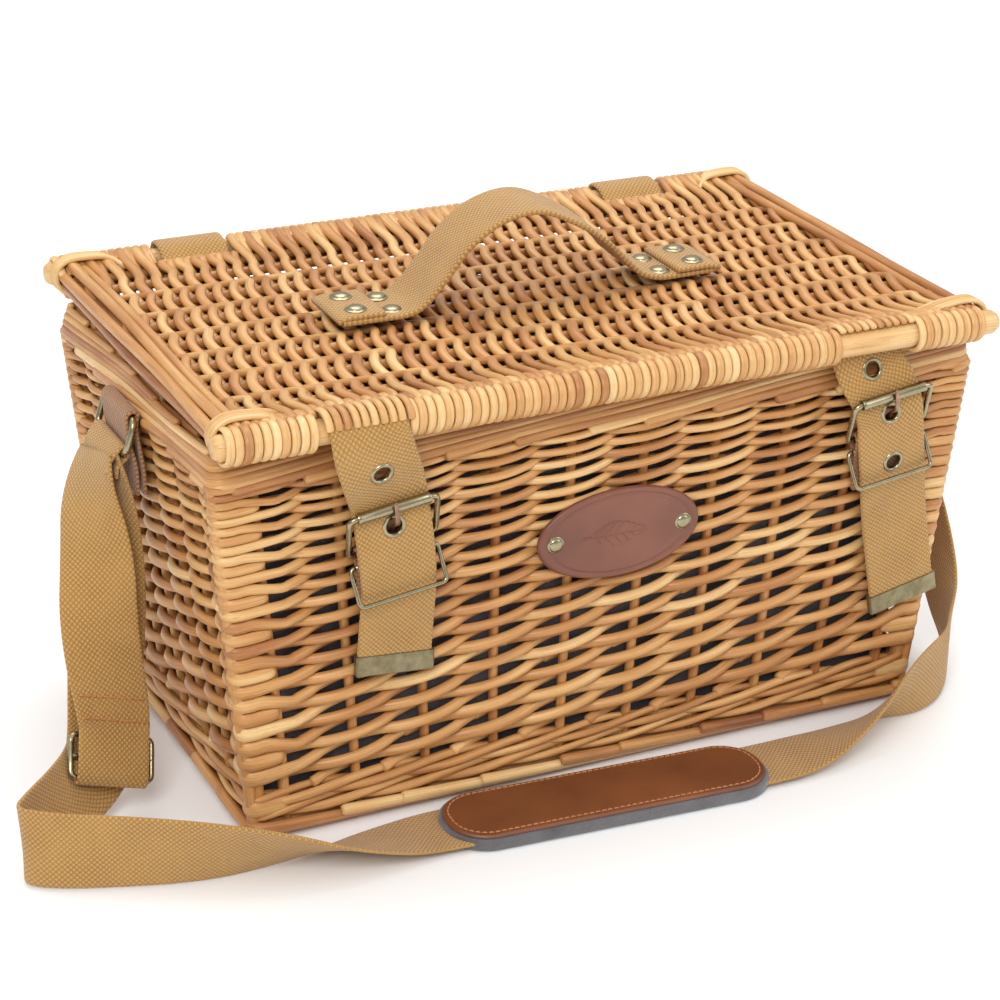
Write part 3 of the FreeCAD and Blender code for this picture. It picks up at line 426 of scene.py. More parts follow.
def ribbon_mesh(name, line, across, width, thickness):
    """A webbing band with rounded edges; its UV map holds the distance along it and across it in metres."""
    line, across = np.asarray(line, float), unit(across)
    along = unit(np.gradient(line, axis=0))
    across = unit(across - along * np.sum(across * along, axis=1, keepdims=True))
    normal = np.cross(across, along)
    half, r = width / 2, thickness / 2
    top = [(-half, 0.0), (-half + 0.35 * r, 0.75 * r), (-half + 1.4 * r, r)]
    top += [(x, r * 1.02) for x in np.linspace(-half + 3, half - 3, 7)]
    top += [(half - 1.4 * r, r), (half - 0.35 * r, 0.75 * r)]
    profile = top + [(-x, -z) for x, z in top]
    n, m = len(line), len(profile)
    ring = np.array(profile)
    points = (line[:, None] + across[:, None] * ring[None, :, :1] + normal[:, None] * ring[None, :, 1:])
    run = run_along(line)
    quads, ends = skin(n, m)
    mesh = solid(name, points, quads + ends)
    uv = mesh.uv_layers.new(name="UVMap")
    corner = np.empty(len(mesh.loops), np.int32)
    mesh.loops.foreach_get("vertex_index", corner)
    flat = np.stack([np.repeat(run, m), np.tile(ring[:, 0], n)], -1) * MM
    uv.data.foreach_set("uv", flat[corner].astype(np.float32).ravel())
    return mesh


def ribbon(name, line, across, body, nodes=(), width=WEBBING, thickness=2.2, material=None):
    mesh = ribbon_mesh(name, line, across, width, thickness)
    return finished(name, mesh, body, material or TAPE, nodes)


def wire_loop(points, corner):
    """A closed wire's line: straight runs with rounded corners."""
    p = [np.array(point, float) for point in points]
    line = []
    for i, point in enumerate(p):
        back, ahead = unit(p[i - 1] - point), unit(p[(i + 1) % len(p)] - point)
        a, b = point + back * corner, point + ahead * corner
        for t in np.linspace(0, 1, 7):
            line.append((1 - t) ** 2 * a + 2 * t * (1 - t) * point + t ** 2 * b)
    return np.array(line + line[:1])


def wire(name, line, radius, body, nodes, material=None, face=(0, 0.3, 0.95), thickness=None):
    rods = Rods()
    rods.add(line, radius, face, thickness=thickness, sides=12)
    return rods.piece(name, body, material or BRASS, "antique_brass", *nodes)


# ---------------------------------------------------------------- woven walls

class Wall:
    """One side of the body: s runs to the right as seen from outside, out away from the body."""

    def __init__(self, name, right, outward, axis):
        self.name, self.right, self.outward, self.axis = name, np.array(right), np.array(outward), axis

    def at(self, s, out, z):
        s, out, z = np.broadcast_arrays(*(np.asarray(v, float) for v in (s, out, z)))
        half = half_size(z)
        s = s * half[..., self.axis] / RIM_HALF[self.axis]
        reach = half[..., 1 - self.axis] + out
        level = s[..., None] * self.right + reach[..., None] * self.outward
        return level + z[..., None] * np.array([0, 0, 1.0])


WALLS = {
    "front_wall": Wall("front_wall", (1.0, 0, 0), (0, -1.0, 0), 0),
    "right_wall": Wall("right_wall", (0, 1.0, 0), (1.0, 0, 0), 1),
    "back_wall": Wall("back_wall", (-1.0, 0, 0), (0, 1.0, 0), 0),
    "left_wall": Wall("left_wall", (0, -1.0, 0), (-1.0, 0, 0), 1),
}
WEAVE_TOP_LAYER = 34.5
WALL_DEPTH = 7.4                # the stakes' plane behind the wall's outer face


def layer_height(m):
    """The height of weaving layer m; the rods taper, so the layers get thinner upwards."""
    return 30.5 + 6.85 * m - 0.0575 * m ** 2


def layer_pitch(m):
    return 6.85 - 0.115 * m


def rod_radius(m):
    return 0.88 + 0.35 * layer_pitch(m)


def corner_turn(wall, sign, m, reach):
    """A rod's turn round a corner, from the field outwards: columns x, y, z, height, thickness and face."""
    corner = RIM_HALF[wall.axis]
    path = [(reach, -2.7, 0), (10, -2.0, 0), (5.0, -2.1, 20), (2.3, -4.0, 55), (1.6, -8.0, 90),
            (4.0, -12.5, 120)]
    rows = []
    for inset, out, turn in path:
        turn = math.radians(turn)
        face = wall.outward * math.cos(turn) + wall.right * sign * math.sin(turn)
        point = wall.at(sign * (corner - inset), out, layer_height(m))
        rows.append([*point, 0.655 * layer_pitch(m), 1.95, *face])
    return rows


def weave(wall, stakes, pitch, wraps):
    """Long tapered rods, each before one stake and behind the next, one layer higher at each stake."""
    rods = Rods()
    last = stakes - 1
    start = -last * pitch / 2
    for k in range(-last, int(WEAVE_TOP_LAYER) + 1):
        q_low, q_high = max(0.0, -0.6 - k), min(float(last), WEAVE_TOP_LAYER - k)
        if q_high - q_low < 0.6:
            continue
        cuts = [q_low]
        cut = math.ceil(q_low) + (math.ceil(q_low) + k) % 2 + 2 * rng.randint(1, 2)
        while cut < q_high - 1.2:
            cuts.append(float(cut))
            cut += 4
        cuts.append(q_high)
        for a, b in zip(cuts, cuts[1:]):
            begin, end = a - (0.25 if a > q_low else 0.0), b + (0.2 if b < q_high else 0.0)
            q = np.linspace(begin, end, max(8, int((end - begin) * 11)))
            m = k + q
            thick = rod_radius(m) * rng.uniform(0.90, 1.06)
            z = layer_height(m) + 0.35 * np.sin(q * 1.7 + rng.random() * 6) + rng.uniform(-0.3, 0.3)
            sway = -np.cos(math.pi * m)
            out = -WALL_DEPTH + (WALL_DEPTH - 0.1 - thick) * np.sign(sway) * np.abs(sway) ** 0.8
            out = out + rng.uniform(-0.25, 0.25)
            line = wall.at(start + pitch * q, out, z)
            face = np.tile(wall.outward, (len(q), 1))
            rows = np.column_stack([line, thick, thick * 0.92, face]).tolist()
            if wraps and a == 0.0 and k % 2 == 1:
                turn = corner_turn(wall, -1, k + (0.67 if k % 4 == 3 else 0.0), 15)
                rows = turn[::-1] + rows[2:]
            if wraps and b == float(last) and (k + last) % 2 == 1:
                top = k + last
                turn = corner_turn(wall, 1, top + (0.67 if top % 4 == 3 else 0.0), 15)
                rows = rows[:-2] + turn
            smooth = spline(rows, 3.2)
            rods.add(smooth[:, :3], smooth[:, 3], unit(smooth[:, 5:8]), thickness=smooth[:, 4],
                     tone=rod_tone(0.63, 0.14))
    return rods, start


def short_wraps(rods, wall):
    """Flattened turns round the two corner stakes, one between each two pairs of long rods."""
    for sign in (-1, 1):
        for m in np.arange(-1.67, WEAVE_TOP_LAYER, 4.0):
            turn = corner_turn(wall, sign, m, 17)
            inner = []
            for inset, out in ((23, -9.0), (23.5, -5.0), (21, -3.2)):
                point = wall.at(sign * (RIM_HALF[wall.axis] - inset), out, layer_height(m))
                inner.append([*point, 0.60 * layer_pitch(m), 1.8, *wall.outward])
            smooth = spline(inner + turn, 2.0)
            rods.add(smooth[:, :3], smooth[:, 3], unit(smooth[:, 5:8]), thickness=smooth[:, 4],
                     tone=rod_tone(0.62, 0.15), sides=10)


def walls():
    posts = Rods()
    for name, wall in WALLS.items():
        long_side = wall.axis == 0
        stakes, pitch = (10, 42.0) if long_side else (7, 35.5)
        rods, start = weave(wall, stakes, pitch, long_side)
        for j in range(stakes):
            heights = np.linspace(6.0, RIM_Z + 4.0, 24)
            outer_stake = long_side and j in (0, stakes - 1)
            s = start + pitch * j + 0.5 * np.sin(heights * 0.03 + j)
            line = wall.at(s, -WALL_DEPTH, heights)
            rods.add(line, 3.0 if outer_stake else 2.6, wall.outward, tone=rng.uniform(0.3, 0.65))
        rods.piece(name + "_weave", "basket", WILLOW, "willow_light", name)
        heights = np.linspace(9.0, RIM_Z + 2.0, 24)
        corner = RIM_HALF[wall.axis]
        if long_side:
            short_wraps(posts, wall)
        for sign in (-1, 1):
            if long_side:
                posts.add(wall.at(sign * (corner - 8.0), -7.6, heights), 4.2, wall.outward, tone=0.5)
            else:
                post = wall.at(sign * (corner - 5.4), -3.2, heights)
                posts.add(post, 3.1, wall.outward, tone=0.62, sides=10)
    posts.piece("corner_post_rods", "basket", WILLOW, "willow_rods", "corner_posts")


class Loop:
    """A rounded rectangle round the body; distances run to the right as seen from outside."""

    def __init__(self, z, corner=9.0):
        half = half_size(z)
        points, normals = [], []
        for cx, cy, first in ((1, -1, -90), (1, 1, 0), (-1, 1, 90), (-1, -1, 180)):
            for angle in np.radians(np.linspace(first, first + 90, 9)):
                out = np.array([math.cos(angle), math.sin(angle)])
                points.append(np.array([cx * (half[0] - corner), cy * (half[1] - corner)]) + corner * out)
                normals.append(out)
        points.append(points[0])
        normals.append(normals[0])
        self.points, self.normals = np.array(points), np.array(normals)
        self.run = run_along(self.points)
        self.length = self.run[-1]

    def at(self, distance, out, z):
        """Points, and the outward directions there."""
        distance = np.mod(distance, self.length)
        xy = np.stack([np.interp(distance, self.run, self.points[:, i]) for i in (0, 1)], -1)
        normal = unit(np.stack([np.interp(distance, self.run, self.normals[:, i]) for i in (0, 1)], -1))
        xy = xy + normal * np.asarray(out)[:, None]
        face = np.column_stack([normal, np.zeros(len(normal))])
        return np.column_stack([xy, z]), face


def top_border():
    """A rolled border: long rods, each rising from the rim's outside and tucked in on top."""
    rods = Rods()
    loop = Loop(RIM_Z + 8)
    for spacing, length, out_a, out_b, z_a, z_b in (
            (37.0, 190.0, -2.7, -6.4, RIM_Z + 0.5, BORDER_Z - 3.0),
            (52.0, 180.0, -9.5, -10.5, RIM_Z + 2.0, BORDER_Z - 4.0)):
        count = round(loop.length / spacing)
        for i in range(count):
            t = np.linspace(0, 1, 60)
            first = i * loop.length / count + rng.uniform(-4, 4)
            lift = t ** 0.9
            out = out_a + (out_b - out_a) * lift + 0.6 * np.sin(t * 9 + i)
            z = z_a + (z_b - z_a) * lift + 0.5 * np.sin(t * 7 + 2 * i)
            line, face = loop.at(first + t * length, out, z)
            rods.add(line, 3.0 - 0.95 * t, face, tone=rod_tone(0.6, 0.2))
    rods.piece("top_border_rods", "basket", WILLOW, "willow_rods", "top_border")


def foot():
    """Two ropes of three rods round the foot, and below them a border of short rods with cut ends."""
    rods = Rods()
    for height, shift in ((15.0, 0.0), (22.5, 1.0)):
        loop = Loop(height)
        turns = round(loop.length / 126.0)
        for strand in range(3):
            distance = np.linspace(0, loop.length * 1.02, 560)
            phase = distance * 2 * math.pi * turns / loop.length + strand * 2 * math.pi / 3 + shift
            line, face = loop.at(distance, -5.4 + 3.2 * np.cos(phase), height + 2.9 * np.sin(phase))
            thick = 2.15 + 0.25 * np.sin(distance * 0.021 + strand)
            rods.add(line, thick, face, tone=rng.uniform(0.45, 0.85))
    loop = Loop(6.0)
    count = round(loop.length / 41.0)
    for i in range(count):
        t = np.linspace(0, 1, 34)
        first = i * loop.length / count + rng.uniform(-5, 5)
        out = 0.2 - 5.5 * t ** 1.4
        z = 8.6 - 5.6 * t + rng.uniform(-0.6, 0.6) * (1 - t)
        line, face = loop.at(first + t * 118.0, out, np.maximum(z, 3.2))
        rods.add(line, 3.2 - 1.0 * t, face, tone=rod_tone(0.55, 0.2))
    for out, z in ((-5.5, 3.0), (-8.0, 6.5)):
        distance = np.linspace(0, loop.length, 400)
        line, face = loop.at(distance, np.full(400, out), np.full(400, z))
        rods.add(line, 2.8, face, tone=0.4)
    rods.piece("foot_border_rods", "basket", WILLOW, "willow_rods", "foot_border")


def base():
    rods = Rods()
    half_x, half_y = PANEL_HALF[:2]
    sticks = np.linspace(-0.8, 0.8, 6) * half_y
    for y in sticks:
        rods.add(line_at(np.linspace(-half_x, half_x, 30), y, BASE_Z), 2.3, (0, 0, 1), tone=0.4)
    gap = sticks[1] - sticks[0]
    for i, x in enumerate(np.arange(-half_x + 4, half_x - 3, 4.6)):
        y = np.linspace(-half_y - 3, half_y + 3, 60)
        z = BASE_Z + 2.3 * np.cos(math.pi * ((y - sticks[0]) / gap + i))
        rods.add(line_at(x, y, z), 1.75, (1, 0, 0), tone=rng.uniform(0.3, 0.8))
    rods.piece("base_weave", "basket", WILLOW, "willow_rods", "base_panel")


def lining():
    """A cloth tub with soft folds inside the walls."""
    inset, floor_z, top_z = 15.5, 13.5, RIM_Z - 1.0
    rows, around = 26, 240
    points = []
    for i in range(rows):
        z = floor_z + (top_z - floor_z) * i / (rows - 1)
        loop = Loop(z, 12.0)
        distance = np.linspace(0, loop.length, around, endpoint=False)
        fold = 0.7 * np.sin(distance * 0.11 + 0.6 * math.sin(i * 0.5)) * math.sin(math.pi * i / (rows - 1))
        line, _ = loop.at(distance, -inset + fold, np.full(around, z))
        points.append(line)
    quads, (bottom, _) = skin(rows, around)
    mesh = solid("lining_tub", points, quads + [bottom])
    # the lining's darkened cloth paints the shade seen through the gaps between the wall rods
    obj = finished("cloth_lining", mesh, "basket", LINING_WITH_PAINTED_SHADE, ("fabric_lining",))
    shell = obj.modifiers.new("thickness", "SOLIDIFY")
    shell.thickness = -0.9 * MM


# ---------------------------------------------------------------- lid

def in_notch(x, y_side):
    place = FRONT_NOTCH_X if y_side < 0 else BACK_NOTCH_X
    return abs(abs(x) - place) < NOTCH_HALF + 1.0


def rail_point(side, angle, reach):
    """A point round a rail; angle 0 looks inwards and 90 up."""
    return (side * (RAIL_Y - reach * math.cos(math.radians(angle))),
            RAIL_Z + reach * math.sin(math.radians(angle)))


WEAVER_PITCH, WEAVER_RADIUS, WEAVER_SWING, WEAVER_LEAN = 4.55, 2.25, 4.0, 2.2


def weaver_end(x, side):
    """Where a weaver ends: on its rail, or in a notch, at the bar behind it or just short of the rail."""
    if not in_notch(x, side):
        return (side * (RAIL_Y - 2.0), RAIL_Z + RAIL_R + 1.2)
    if side > 0:
        return (side * (NOTCH_BAR_Y - 1.0), RAIL_Z + 4.6)
    return (side * (RAIL_Y - 10.5), RAIL_Z + 6.5)


def lid_weaver(rods, i):
    """One rod from the front to the back, over and under the stakes, leaning sideways between them."""
    x = -WEAVE_HALF + 3 + i * WEAVER_PITCH
    keys = [weaver_end(x, -1)]
    for j, y in enumerate(np.array(STAKE_ROWS) * STAKE_PITCH):
        keys.append((y, RAIL_Z + (WEAVER_SWING if (i + j) % 2 == 0 else -WEAVER_SWING)))
    keys.append(weaver_end(x, 1))
    line = []
    for j, ((ya, za), (yb, zb)) in enumerate(zip(keys, keys[1:])):
        t = np.linspace(0, 1, 13)[:-1]
        ease = (1 - np.cos(math.pi * t)) / 2
        lean = WEAVER_LEAN * (1.0 if 0 < j < len(keys) - 2 else 0.4)
        line.append(line_at(x + lean * np.sin(2 * math.pi * t), ya + (yb - ya) * t, za + (zb - za) * ease))
    line.append(np.array([[x, keys[-1][0], keys[-1][1]]]))
    line = np.vstack(line)
    line[:, 2] += rng.uniform(-0.15, 0.15)
    share = np.linspace(0, 1, len(line))
    taper = WEAVER_RADIUS * rng.uniform(0.92, 1.08) * (1.06 - 0.14 * (share if i % 2 else 1 - share))
    rods.add(line, taper * 0.95, (1, 0, 0), thickness=taper * 1.22, tone=rod_tone(0.62, 0.15))


def rail_wraps(rods, side):
    """Each weaver's turn round a rail, tucked back into the lid."""
    reach = RAIL_R + 1.55
    for i in range(int(2 * WEAVE_HALF / WEAVER_PITCH) + 2):
        x = -WEAVE_HALF - 4 + i * WEAVER_PITCH + rng.uniform(-0.15, 0.15)
        if in_notch(x, side):
            continue
        turn = [rail_point(side, angle, reach) for angle in np.linspace(-75, -285, 22)]
        turn += [(side * (RAIL_Y - 8.5), RAIL_Z + reach - 1.0), (side * (RAIL_Y - 15), RAIL_Z + reach - 4.6)]
        slant = np.linspace(-0.9, 0.9, len(turn)) * -side
        line = np.column_stack([x + slant, np.array(turn)])
        rods.add(line, 2.2, facing(line, side), thickness=1.25, tone=rod_tone(0.6, 0.22), sides=10)


def lid_weave():
    weavers, wraps = Rods(), Rods()
    for i in range(int(2 * (WEAVE_HALF - 3) / WEAVER_PITCH) + 1):
        lid_weaver(weavers, i)
    for side in (-1, 1):
        rail_wraps(wraps, side)
        for place in (-1, 1):
            middle = place * (FRONT_NOTCH_X if side < 0 else BACK_NOTCH_X)
            x = np.linspace(middle - NOTCH_HALF, middle + NOTCH_HALF, 12)
            weavers.add(line_at(x, side * NOTCH_BAR_Y, RAIL_Z + 0.5), 3.0, (0, 0, 1), tone=0.5)
            if side < 0:
                front_notch_loops(wraps, middle)
            else:
                back_notch_loops(wraps, middle)
    weavers.piece("lid_weavers", "lid", WILLOW, "willow_light", "lid_weave")
    wraps.piece("lid_rail_wraps", "lid", PALE_WILLOW, "willow_light")


def back_notch_loops(wraps, middle):
    """Turns round the bar that lies in front of a hinge strap."""
    reach = 4.4
    angles = np.radians(np.linspace(-150, 100, 14))
    for x in np.arange(middle - NOTCH_HALF + 2.5, middle + NOTCH_HALF - 1, WEAVER_PITCH * 1.5):
        line = line_at(x, NOTCH_BAR_Y + reach * np.cos(angles), RAIL_Z + 0.5 + reach * np.sin(angles))
        wraps.add(line, 2.4, (0, 1, 0.2), thickness=1.2, tone=rng.uniform(0.4, 0.8))


def front_notch_loops(wraps, middle):
    """Narrow loops over a front notch's rail; the left ones lie over the closure strap, too."""
    over_strap = middle < 0
    reach, last = (RAIL_R + 3.9, 158) if over_strap else (RAIL_R + 3.6, 108)
    for x in np.arange(middle - NOTCH_HALF + 1.5, middle + NOTCH_HALF - 1, WEAVER_PITCH):
        angles = np.linspace(5, last, 16)
        tuck = np.interp(angles, [last - 35, last], [0.0, 1.3])
        yz = [rail_point(-1, angle, reach - inset) for angle, inset in zip(angles, tuck)]
        line = np.column_stack([x + np.linspace(-0.8, 0.8, 16), np.array(yz)])
        wraps.add(line, 1.95, facing(line, -1), thickness=1.3, tone=rod_tone(0.5, 0.2), sides=10)


def facing(line, side):
    """Outward directions of a turn round a rail."""
    out = line - np.array([0.0, side * RAIL_Y, RAIL_Z])
    out[:, 0] = 0
    return unit(out)


def lid_frame():
    """Rails, stakes, the bundles of rods at the short sides, and the corner ties."""
    for name, side in (("lid_front_rail", -1), ("lid_back_rail", 1)):
        rods = Rods()
        x = np.linspace(-LID_HALF + 1, LID_HALF - 1, 60)
        line = line_at(x, side * RAIL_Y + 0.3 * np.sin(x * 0.02), RAIL_Z)
        rods.add(line, RAIL_R - 0.1, (0, 0, 1), tone=0.78, sides=16)
        rods.piece(name + "_rod", "lid", PALE_WILLOW, "willow_rods", name)
    rods = Rods()
    x = np.linspace(-LID_HALF + 6, LID_HALF - 6, 50)
    for y in np.array(STAKE_ROWS) * STAKE_PITCH:
        rods.add(line_at(x, y + 0.4 * np.sin(x * 0.03), RAIL_Z), 2.6, (0, 0, 1), tone=0.45)
    for y, z, radius in ((-NOTCH_BAR_Y, RAIL_Z, 2.6), (NOTCH_BAR_Y, RAIL_Z, 2.6),
                         (NOTCH_BAR_Y + 4.4, RAIL_Z - 6.2, 4.2), (RAIL_Y - 7.5, RAIL_Z - 7.2, 2.3)):
        rods.add(line_at(x, y, z), radius, (0, 0, 1), tone=0.45)
    rods.piece("lid_stake_rods", "lid", WILLOW, "willow_rods", "lid_stakes")

    rods = Rods()
    bundle = [(208.0, 2.5, 3.0), (207.0, -4.0, 2.9), (203.0, 6.3, 2.8), (201.5, 0.0, 3.0),
              (202.0, -6.0, 2.5), (197.0, 5.0, 2.5)]
    for side in (-1, 1):
        for k, (x, rise, radius) in enumerate(bundle):
            y = np.linspace(-RAIL_Y + 1, RAIL_Y - 1, 50)
            bow = np.sin((y / RAIL_Y + 1) * math.pi / 2)
            wander = 0.8 * np.sin(y * 0.028 + k * 1.9) * bow
            line = line_at(side * (x + wander), y, RAIL_Z + rise + 0.8 * np.cos(y * 0.022 + k * 2.3))
            rods.add(line, radius, (0, 0, 1), tone=rng.uniform(0.30, 0.62), sides=10)
    rods.piece("lid_side_bundles", "lid", WILLOW, "willow_rods", "lid_side_rods")

    rods = Rods()
    for side_x in (-1, 1):
        for side_y in (-1, 1):
            for k in range(4):
                y = side_y * (RAIL_Y - 5.5 - 2.3 * k)
                top = RAIL_Z + RAIL_R + 4.0
                path = [(180 - 1.5 * k, y - side_y * 5, top - 6), (186 - k, y, top - 1.2),
                        (196, y, top + 0.3), (205, y, top - 0.2), (210.6, y, top - 3.8),
                        (212.0, y, RAIL_Z + 2), (210.5, y, RAIL_Z - 4),
                        (205, y - side_y * 1, RAIL_Z - 8.6), (196, y - side_y * 2, RAIL_Z - 8.6)]
                line = spline([(side_x * a, b, c) for a, b, c in path], 2.0)
                rods.add(line, 1.45, (0, side_y, 0), thickness=1.2, tone=rng.uniform(0.6, 0.95))
    rods.piece("lid_corner_skeins", "lid", PALE_WILLOW, "willow_rods", "lid_corner_ties")


walls()
top_border()
foot()
base()
lining()
lid_weave()
lid_frame()


# ---------------------------------------------------------------- webbing

def smooth_band(route, across, resolution=8):
    """A route of millimetre points as one NURBS line, with its width directions read off a second one."""
    middle = nurbs_points([np.array(p, float) for p in route], resolution)
    offset = nurbs_points([np.array(p, float) + 20 * unit(a) for p, a in zip(route, across)], resolution)
    return middle, unit(offset - middle)


def nurbs_points(points, resolution):
    """Points along the NURBS spline of a list of control points."""
    curve = bpy.data.curves.new("route", "CURVE")
    curve.dimensions = "3D"
    route = curve.splines.new("NURBS")
    route.points.add(len(points) - 1)
    for place, point in zip(route.points, points):
        place.co = (*(c * MM for c in point), 1.0)
    route.order_u = 3
    route.use_endpoint_u = True
    route.resolution_u = resolution
    obj = bpy.data.objects.new("route", curve)
    mesh = bpy.data.meshes.new_from_object(obj)
    line = np.array([v.co for v in mesh.vertices], float) / MM
    bpy.data.objects.remove(obj)
    bpy.data.curves.remove(curve)
    bpy.data.meshes.remove(mesh)
    return line


HANDLE_PROFILE = [(-107, 0), (-88, 0), (-72, 0.4), (-62, 5), (-50, 18), (-38, 32), (-20, 43.5), (2, 46.5),
                  (24, 37.5), (42, 25), (56, 11), (64, 4), (74, 0.6), (88, 0), (107, 0)]
HANDLE_MIDDLE = cad_box("carry_handle")[0][2] + 1.6
HANDLE_Y = (cad_box("carry_handle")[0][1] + cad_box("carry_handle")[1][1]) / 2
RIVETS_X, RIVETS_Y = (77.0, 97.0), (-10.0, 10.0)


def carry_handle():
    path = spline([(x, 0.0, HANDLE_MIDDLE + z) for x, z in HANDLE_PROFILE], 2.0)
    path[:, 1] = HANDLE_Y + 0.8 * np.sin(path[:, 0] * 0.02)
    twist = np.column_stack([0.02 * np.sin(path[:, 0] * 0.03), np.ones(len(path)),
                             0.05 * np.sin(path[:, 0] * 0.025 + 1)])
    ribbon("handle_webbing", path, twist, "lid", ("carry_handle",), width=WEBBING - 1, thickness=3.0)
    tabs = []
    tab = ((84, 3.1), (94, 3.15), (104, 3.0), (109.5, 1.6))
    for side in (-1, 1):
        band = spline([(side * x, HANDLE_Y, HANDLE_MIDDLE + z) for x, z in tab], 2.0)
        tabs.append(ribbon_mesh("tab", band, steady((0, 1.0, 0), band), WEBBING - 1, 2.8))
    joined("handle_tab_webbing", tabs, "lid", TAPE, ("handle_end_tabs",))
    rivets = Lathe()
    for side in (-1, 1):
        for x, rise in zip(RIVETS_X, (1.5, 4.6)):
            for y in RIVETS_Y:
                rivets.dome((side * x, HANDLE_Y + y, HANDLE_MIDDLE + rise), (0, 0, 1), 5.8, 2.5)
    rivets.piece("handle_rivet_domes", "lid", BRASS, "antique_brass", "handle_rivets")


class Lathe:
    """Gathers turned pieces: a profile of (radius, height) pairs round an axis."""

    def __init__(self):
        self.points, self.faces = [], []

    def turn(self, place, axis, profile, sides=28):
        axis = unit(np.array(axis, float))
        right = unit(np.cross(axis, (0.0, 1.0, 0.02) if abs(axis[1]) < 0.9 else (1.0, 0, 0.0)))
        up = np.cross(axis, right)
        angle = np.arange(sides) * 2 * math.pi / sides
        ring = np.cos(angle)[:, None] * right + np.sin(angle)[:, None] * up
        first = sum(len(p) for p in self.points)
        points = np.array([np.array(place, float) + axis * h + ring * r for r, h in profile]).reshape(-1, 3)
        quads, ends = skin(len(profile), sides, first)
        self.points.append(points)
        self.faces += quads if profile[0] == profile[-1] else quads + ends

    def dome(self, place, axis, radius, rise):
        """A domed rivet head with a flat rim."""
        profile = [(radius, 0.0), (radius, 0.35), (radius * 0.93, 0.62)]
        for a in np.radians(np.linspace(8, 88, 8)):
            profile.append((radius * 0.84 * math.cos(a), 0.5 + (rise - 0.5) * math.sin(a)))
        self.turn(place, axis, profile)

    def eyelet(self, place, axis, inner, outer, reach):
        """A rolled ring on each face of the strap, joined through it."""
        profile = []
        for a in np.linspace(0, 360, 25):
            c, s = math.cos(math.radians(a)), math.sin(math.radians(a))
            profile.append(((inner + outer) / 2 + (outer - inner) / 2 * np.sign(c) * abs(c) ** 0.8,
                            reach * np.sign(s) * abs(s) ** 0.7))
        profile[-1] = profile[0]
        self.turn(place, axis, profile)

    def piece(self, name, body, material, slot_name, *nodes):
        mesh = solid(name, np.vstack(self.points), self.faces)
        soften(finished(name, mesh, body, material, nodes), 40)


def soften(obj, degrees):
    """Shades edges sharper than the given angle as edges."""
    obj.data.set_sharp_from_angle(angle=math.radians(degrees))


def joined(name, meshes, body, material, nodes=()):
    """Several meshes as one piece; their UV maps are kept."""
    objects = []
    for mesh in meshes:
        obj = bpy.data.objects.new(name, mesh)
        bpy.context.scene.collection.objects.link(obj)
        objects.append(obj)
    with bpy.context.temp_override(active_object=objects[0], object=objects[0],
                                   selected_objects=objects, selected_editable_objects=objects):
        bpy.ops.object.join()
    mesh = objects[0].data
    bpy.data.objects.remove(objects[0])
    mesh.name = name
    return finished(name, mesh, body, material, nodes)


def hinge_webbing():
    wall = half_size(RIM_Z)[1]
    hug = RAIL_R + 2.3
    route = [(wall - 3.6, 172.0), (wall - 1.6, 190.0), (wall + 0.8, 206.0), (wall + 3.0, 214.0),
             (RAIL_Y + hug, RAIL_Z - 6), (RAIL_Y + hug - 0.6, RAIL_Z + 4), (RAIL_Y + 4, RAIL_Z + hug),
             (RAIL_Y - 6, RAIL_Z + hug - 0.6), (RAIL_Y - 12, RAIL_Z + 4.5), (RAIL_Y - 16, RAIL_Z + 1.5)]
    for label, side in (("left_hinge_strap", -1), ("right_hinge_strap", 1)):
        x = side * BACK_NOTCH_X
        line = spline([(x, y, z) for y, z in route], 2.0)
        band = ribbon(label + "_webbing", line, steady((1.0, 0, 0), line), None, (label,), width=WEBBING - 2)
        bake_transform(band)


# ---------------------------------------------------------------- buckles and closure straps

CLOSURES = {
    "left": {
        "bar": (-122.3, 158.0), "tilt": 8.0, "tip_tilt": -5.0, "eyelets": (5, 8),
        "route": [(-141.5, -124, 232.7), (-141, -130.5, 232.8), (-140.5, -135.6, 229.9),
                  (-139.8, -137.9, 225), (-138.5, -138.9, 217), (-133.3, -135.8, 202), (-127.6, -129.5, 189),
                  (-125.6, -128.3, 181), (-124, -128.4, 170), (-122.3, -128.1, 158), (-119.7, -125.3, 137),
                  (-119, -120.5, 112), (-119, -118.2, 97), (-119, -117.6, 86)],
    },
    "right": {
        "bar": (156.5, 171.0), "tilt": 8.0, "tip_tilt": 12.0, "eyelets": (3, 5, 7),
        "bend": ((0.141, -0.121, 0.2235), (0.144, -0.1245, 0.2115)),
        "route": [(141, -119, 227), (141, -120.4, 222), (141, -122.6, 216),
                  (144.2, -124.8, 207), (150.4, -128.2, 195), (154.8, -129.0, 183), (156.7, -128.6, 171),
                  (160.3, -126.5, 154), (168, -120.5, 122), (175, -118.0, 92), (178, -117.4, 78),
                  (181, -116.8, 65)],
    },
}
LEVEL_ABOVE, TILTED_BELOW = 216.0, 202.0               # a closure strap turns sideways between these heights
WALL_LEAN = math.atan2(RIM_HALF[1] - BASE_HALF[1], RIM_Z)


class Buckle:
    """A buckle's own frame: origin on the wall, x along its bar, z up the strap."""

    def __init__(self, x, z, tilt):
        self.origin = np.array([x, -half_size(z)[1], z])
        lean, turn = WALL_LEAN, math.radians(-tilt)
        about_x = [[1, 0, 0], [0, math.cos(lean), -math.sin(lean)], [0, math.sin(lean), math.cos(lean)]]
        about_y = [[math.cos(turn), 0, math.sin(turn)], [0, 1, 0], [-math.sin(turn), 0, math.cos(turn)]]
        self.basis = np.array(about_x) @ np.array(about_y)

    def at(self, points):
        return np.atleast_2d(np.array(points, float)) @ self.basis.T + self.origin

    def way(self, direction):
        return self.basis @ np.array(direction, float)


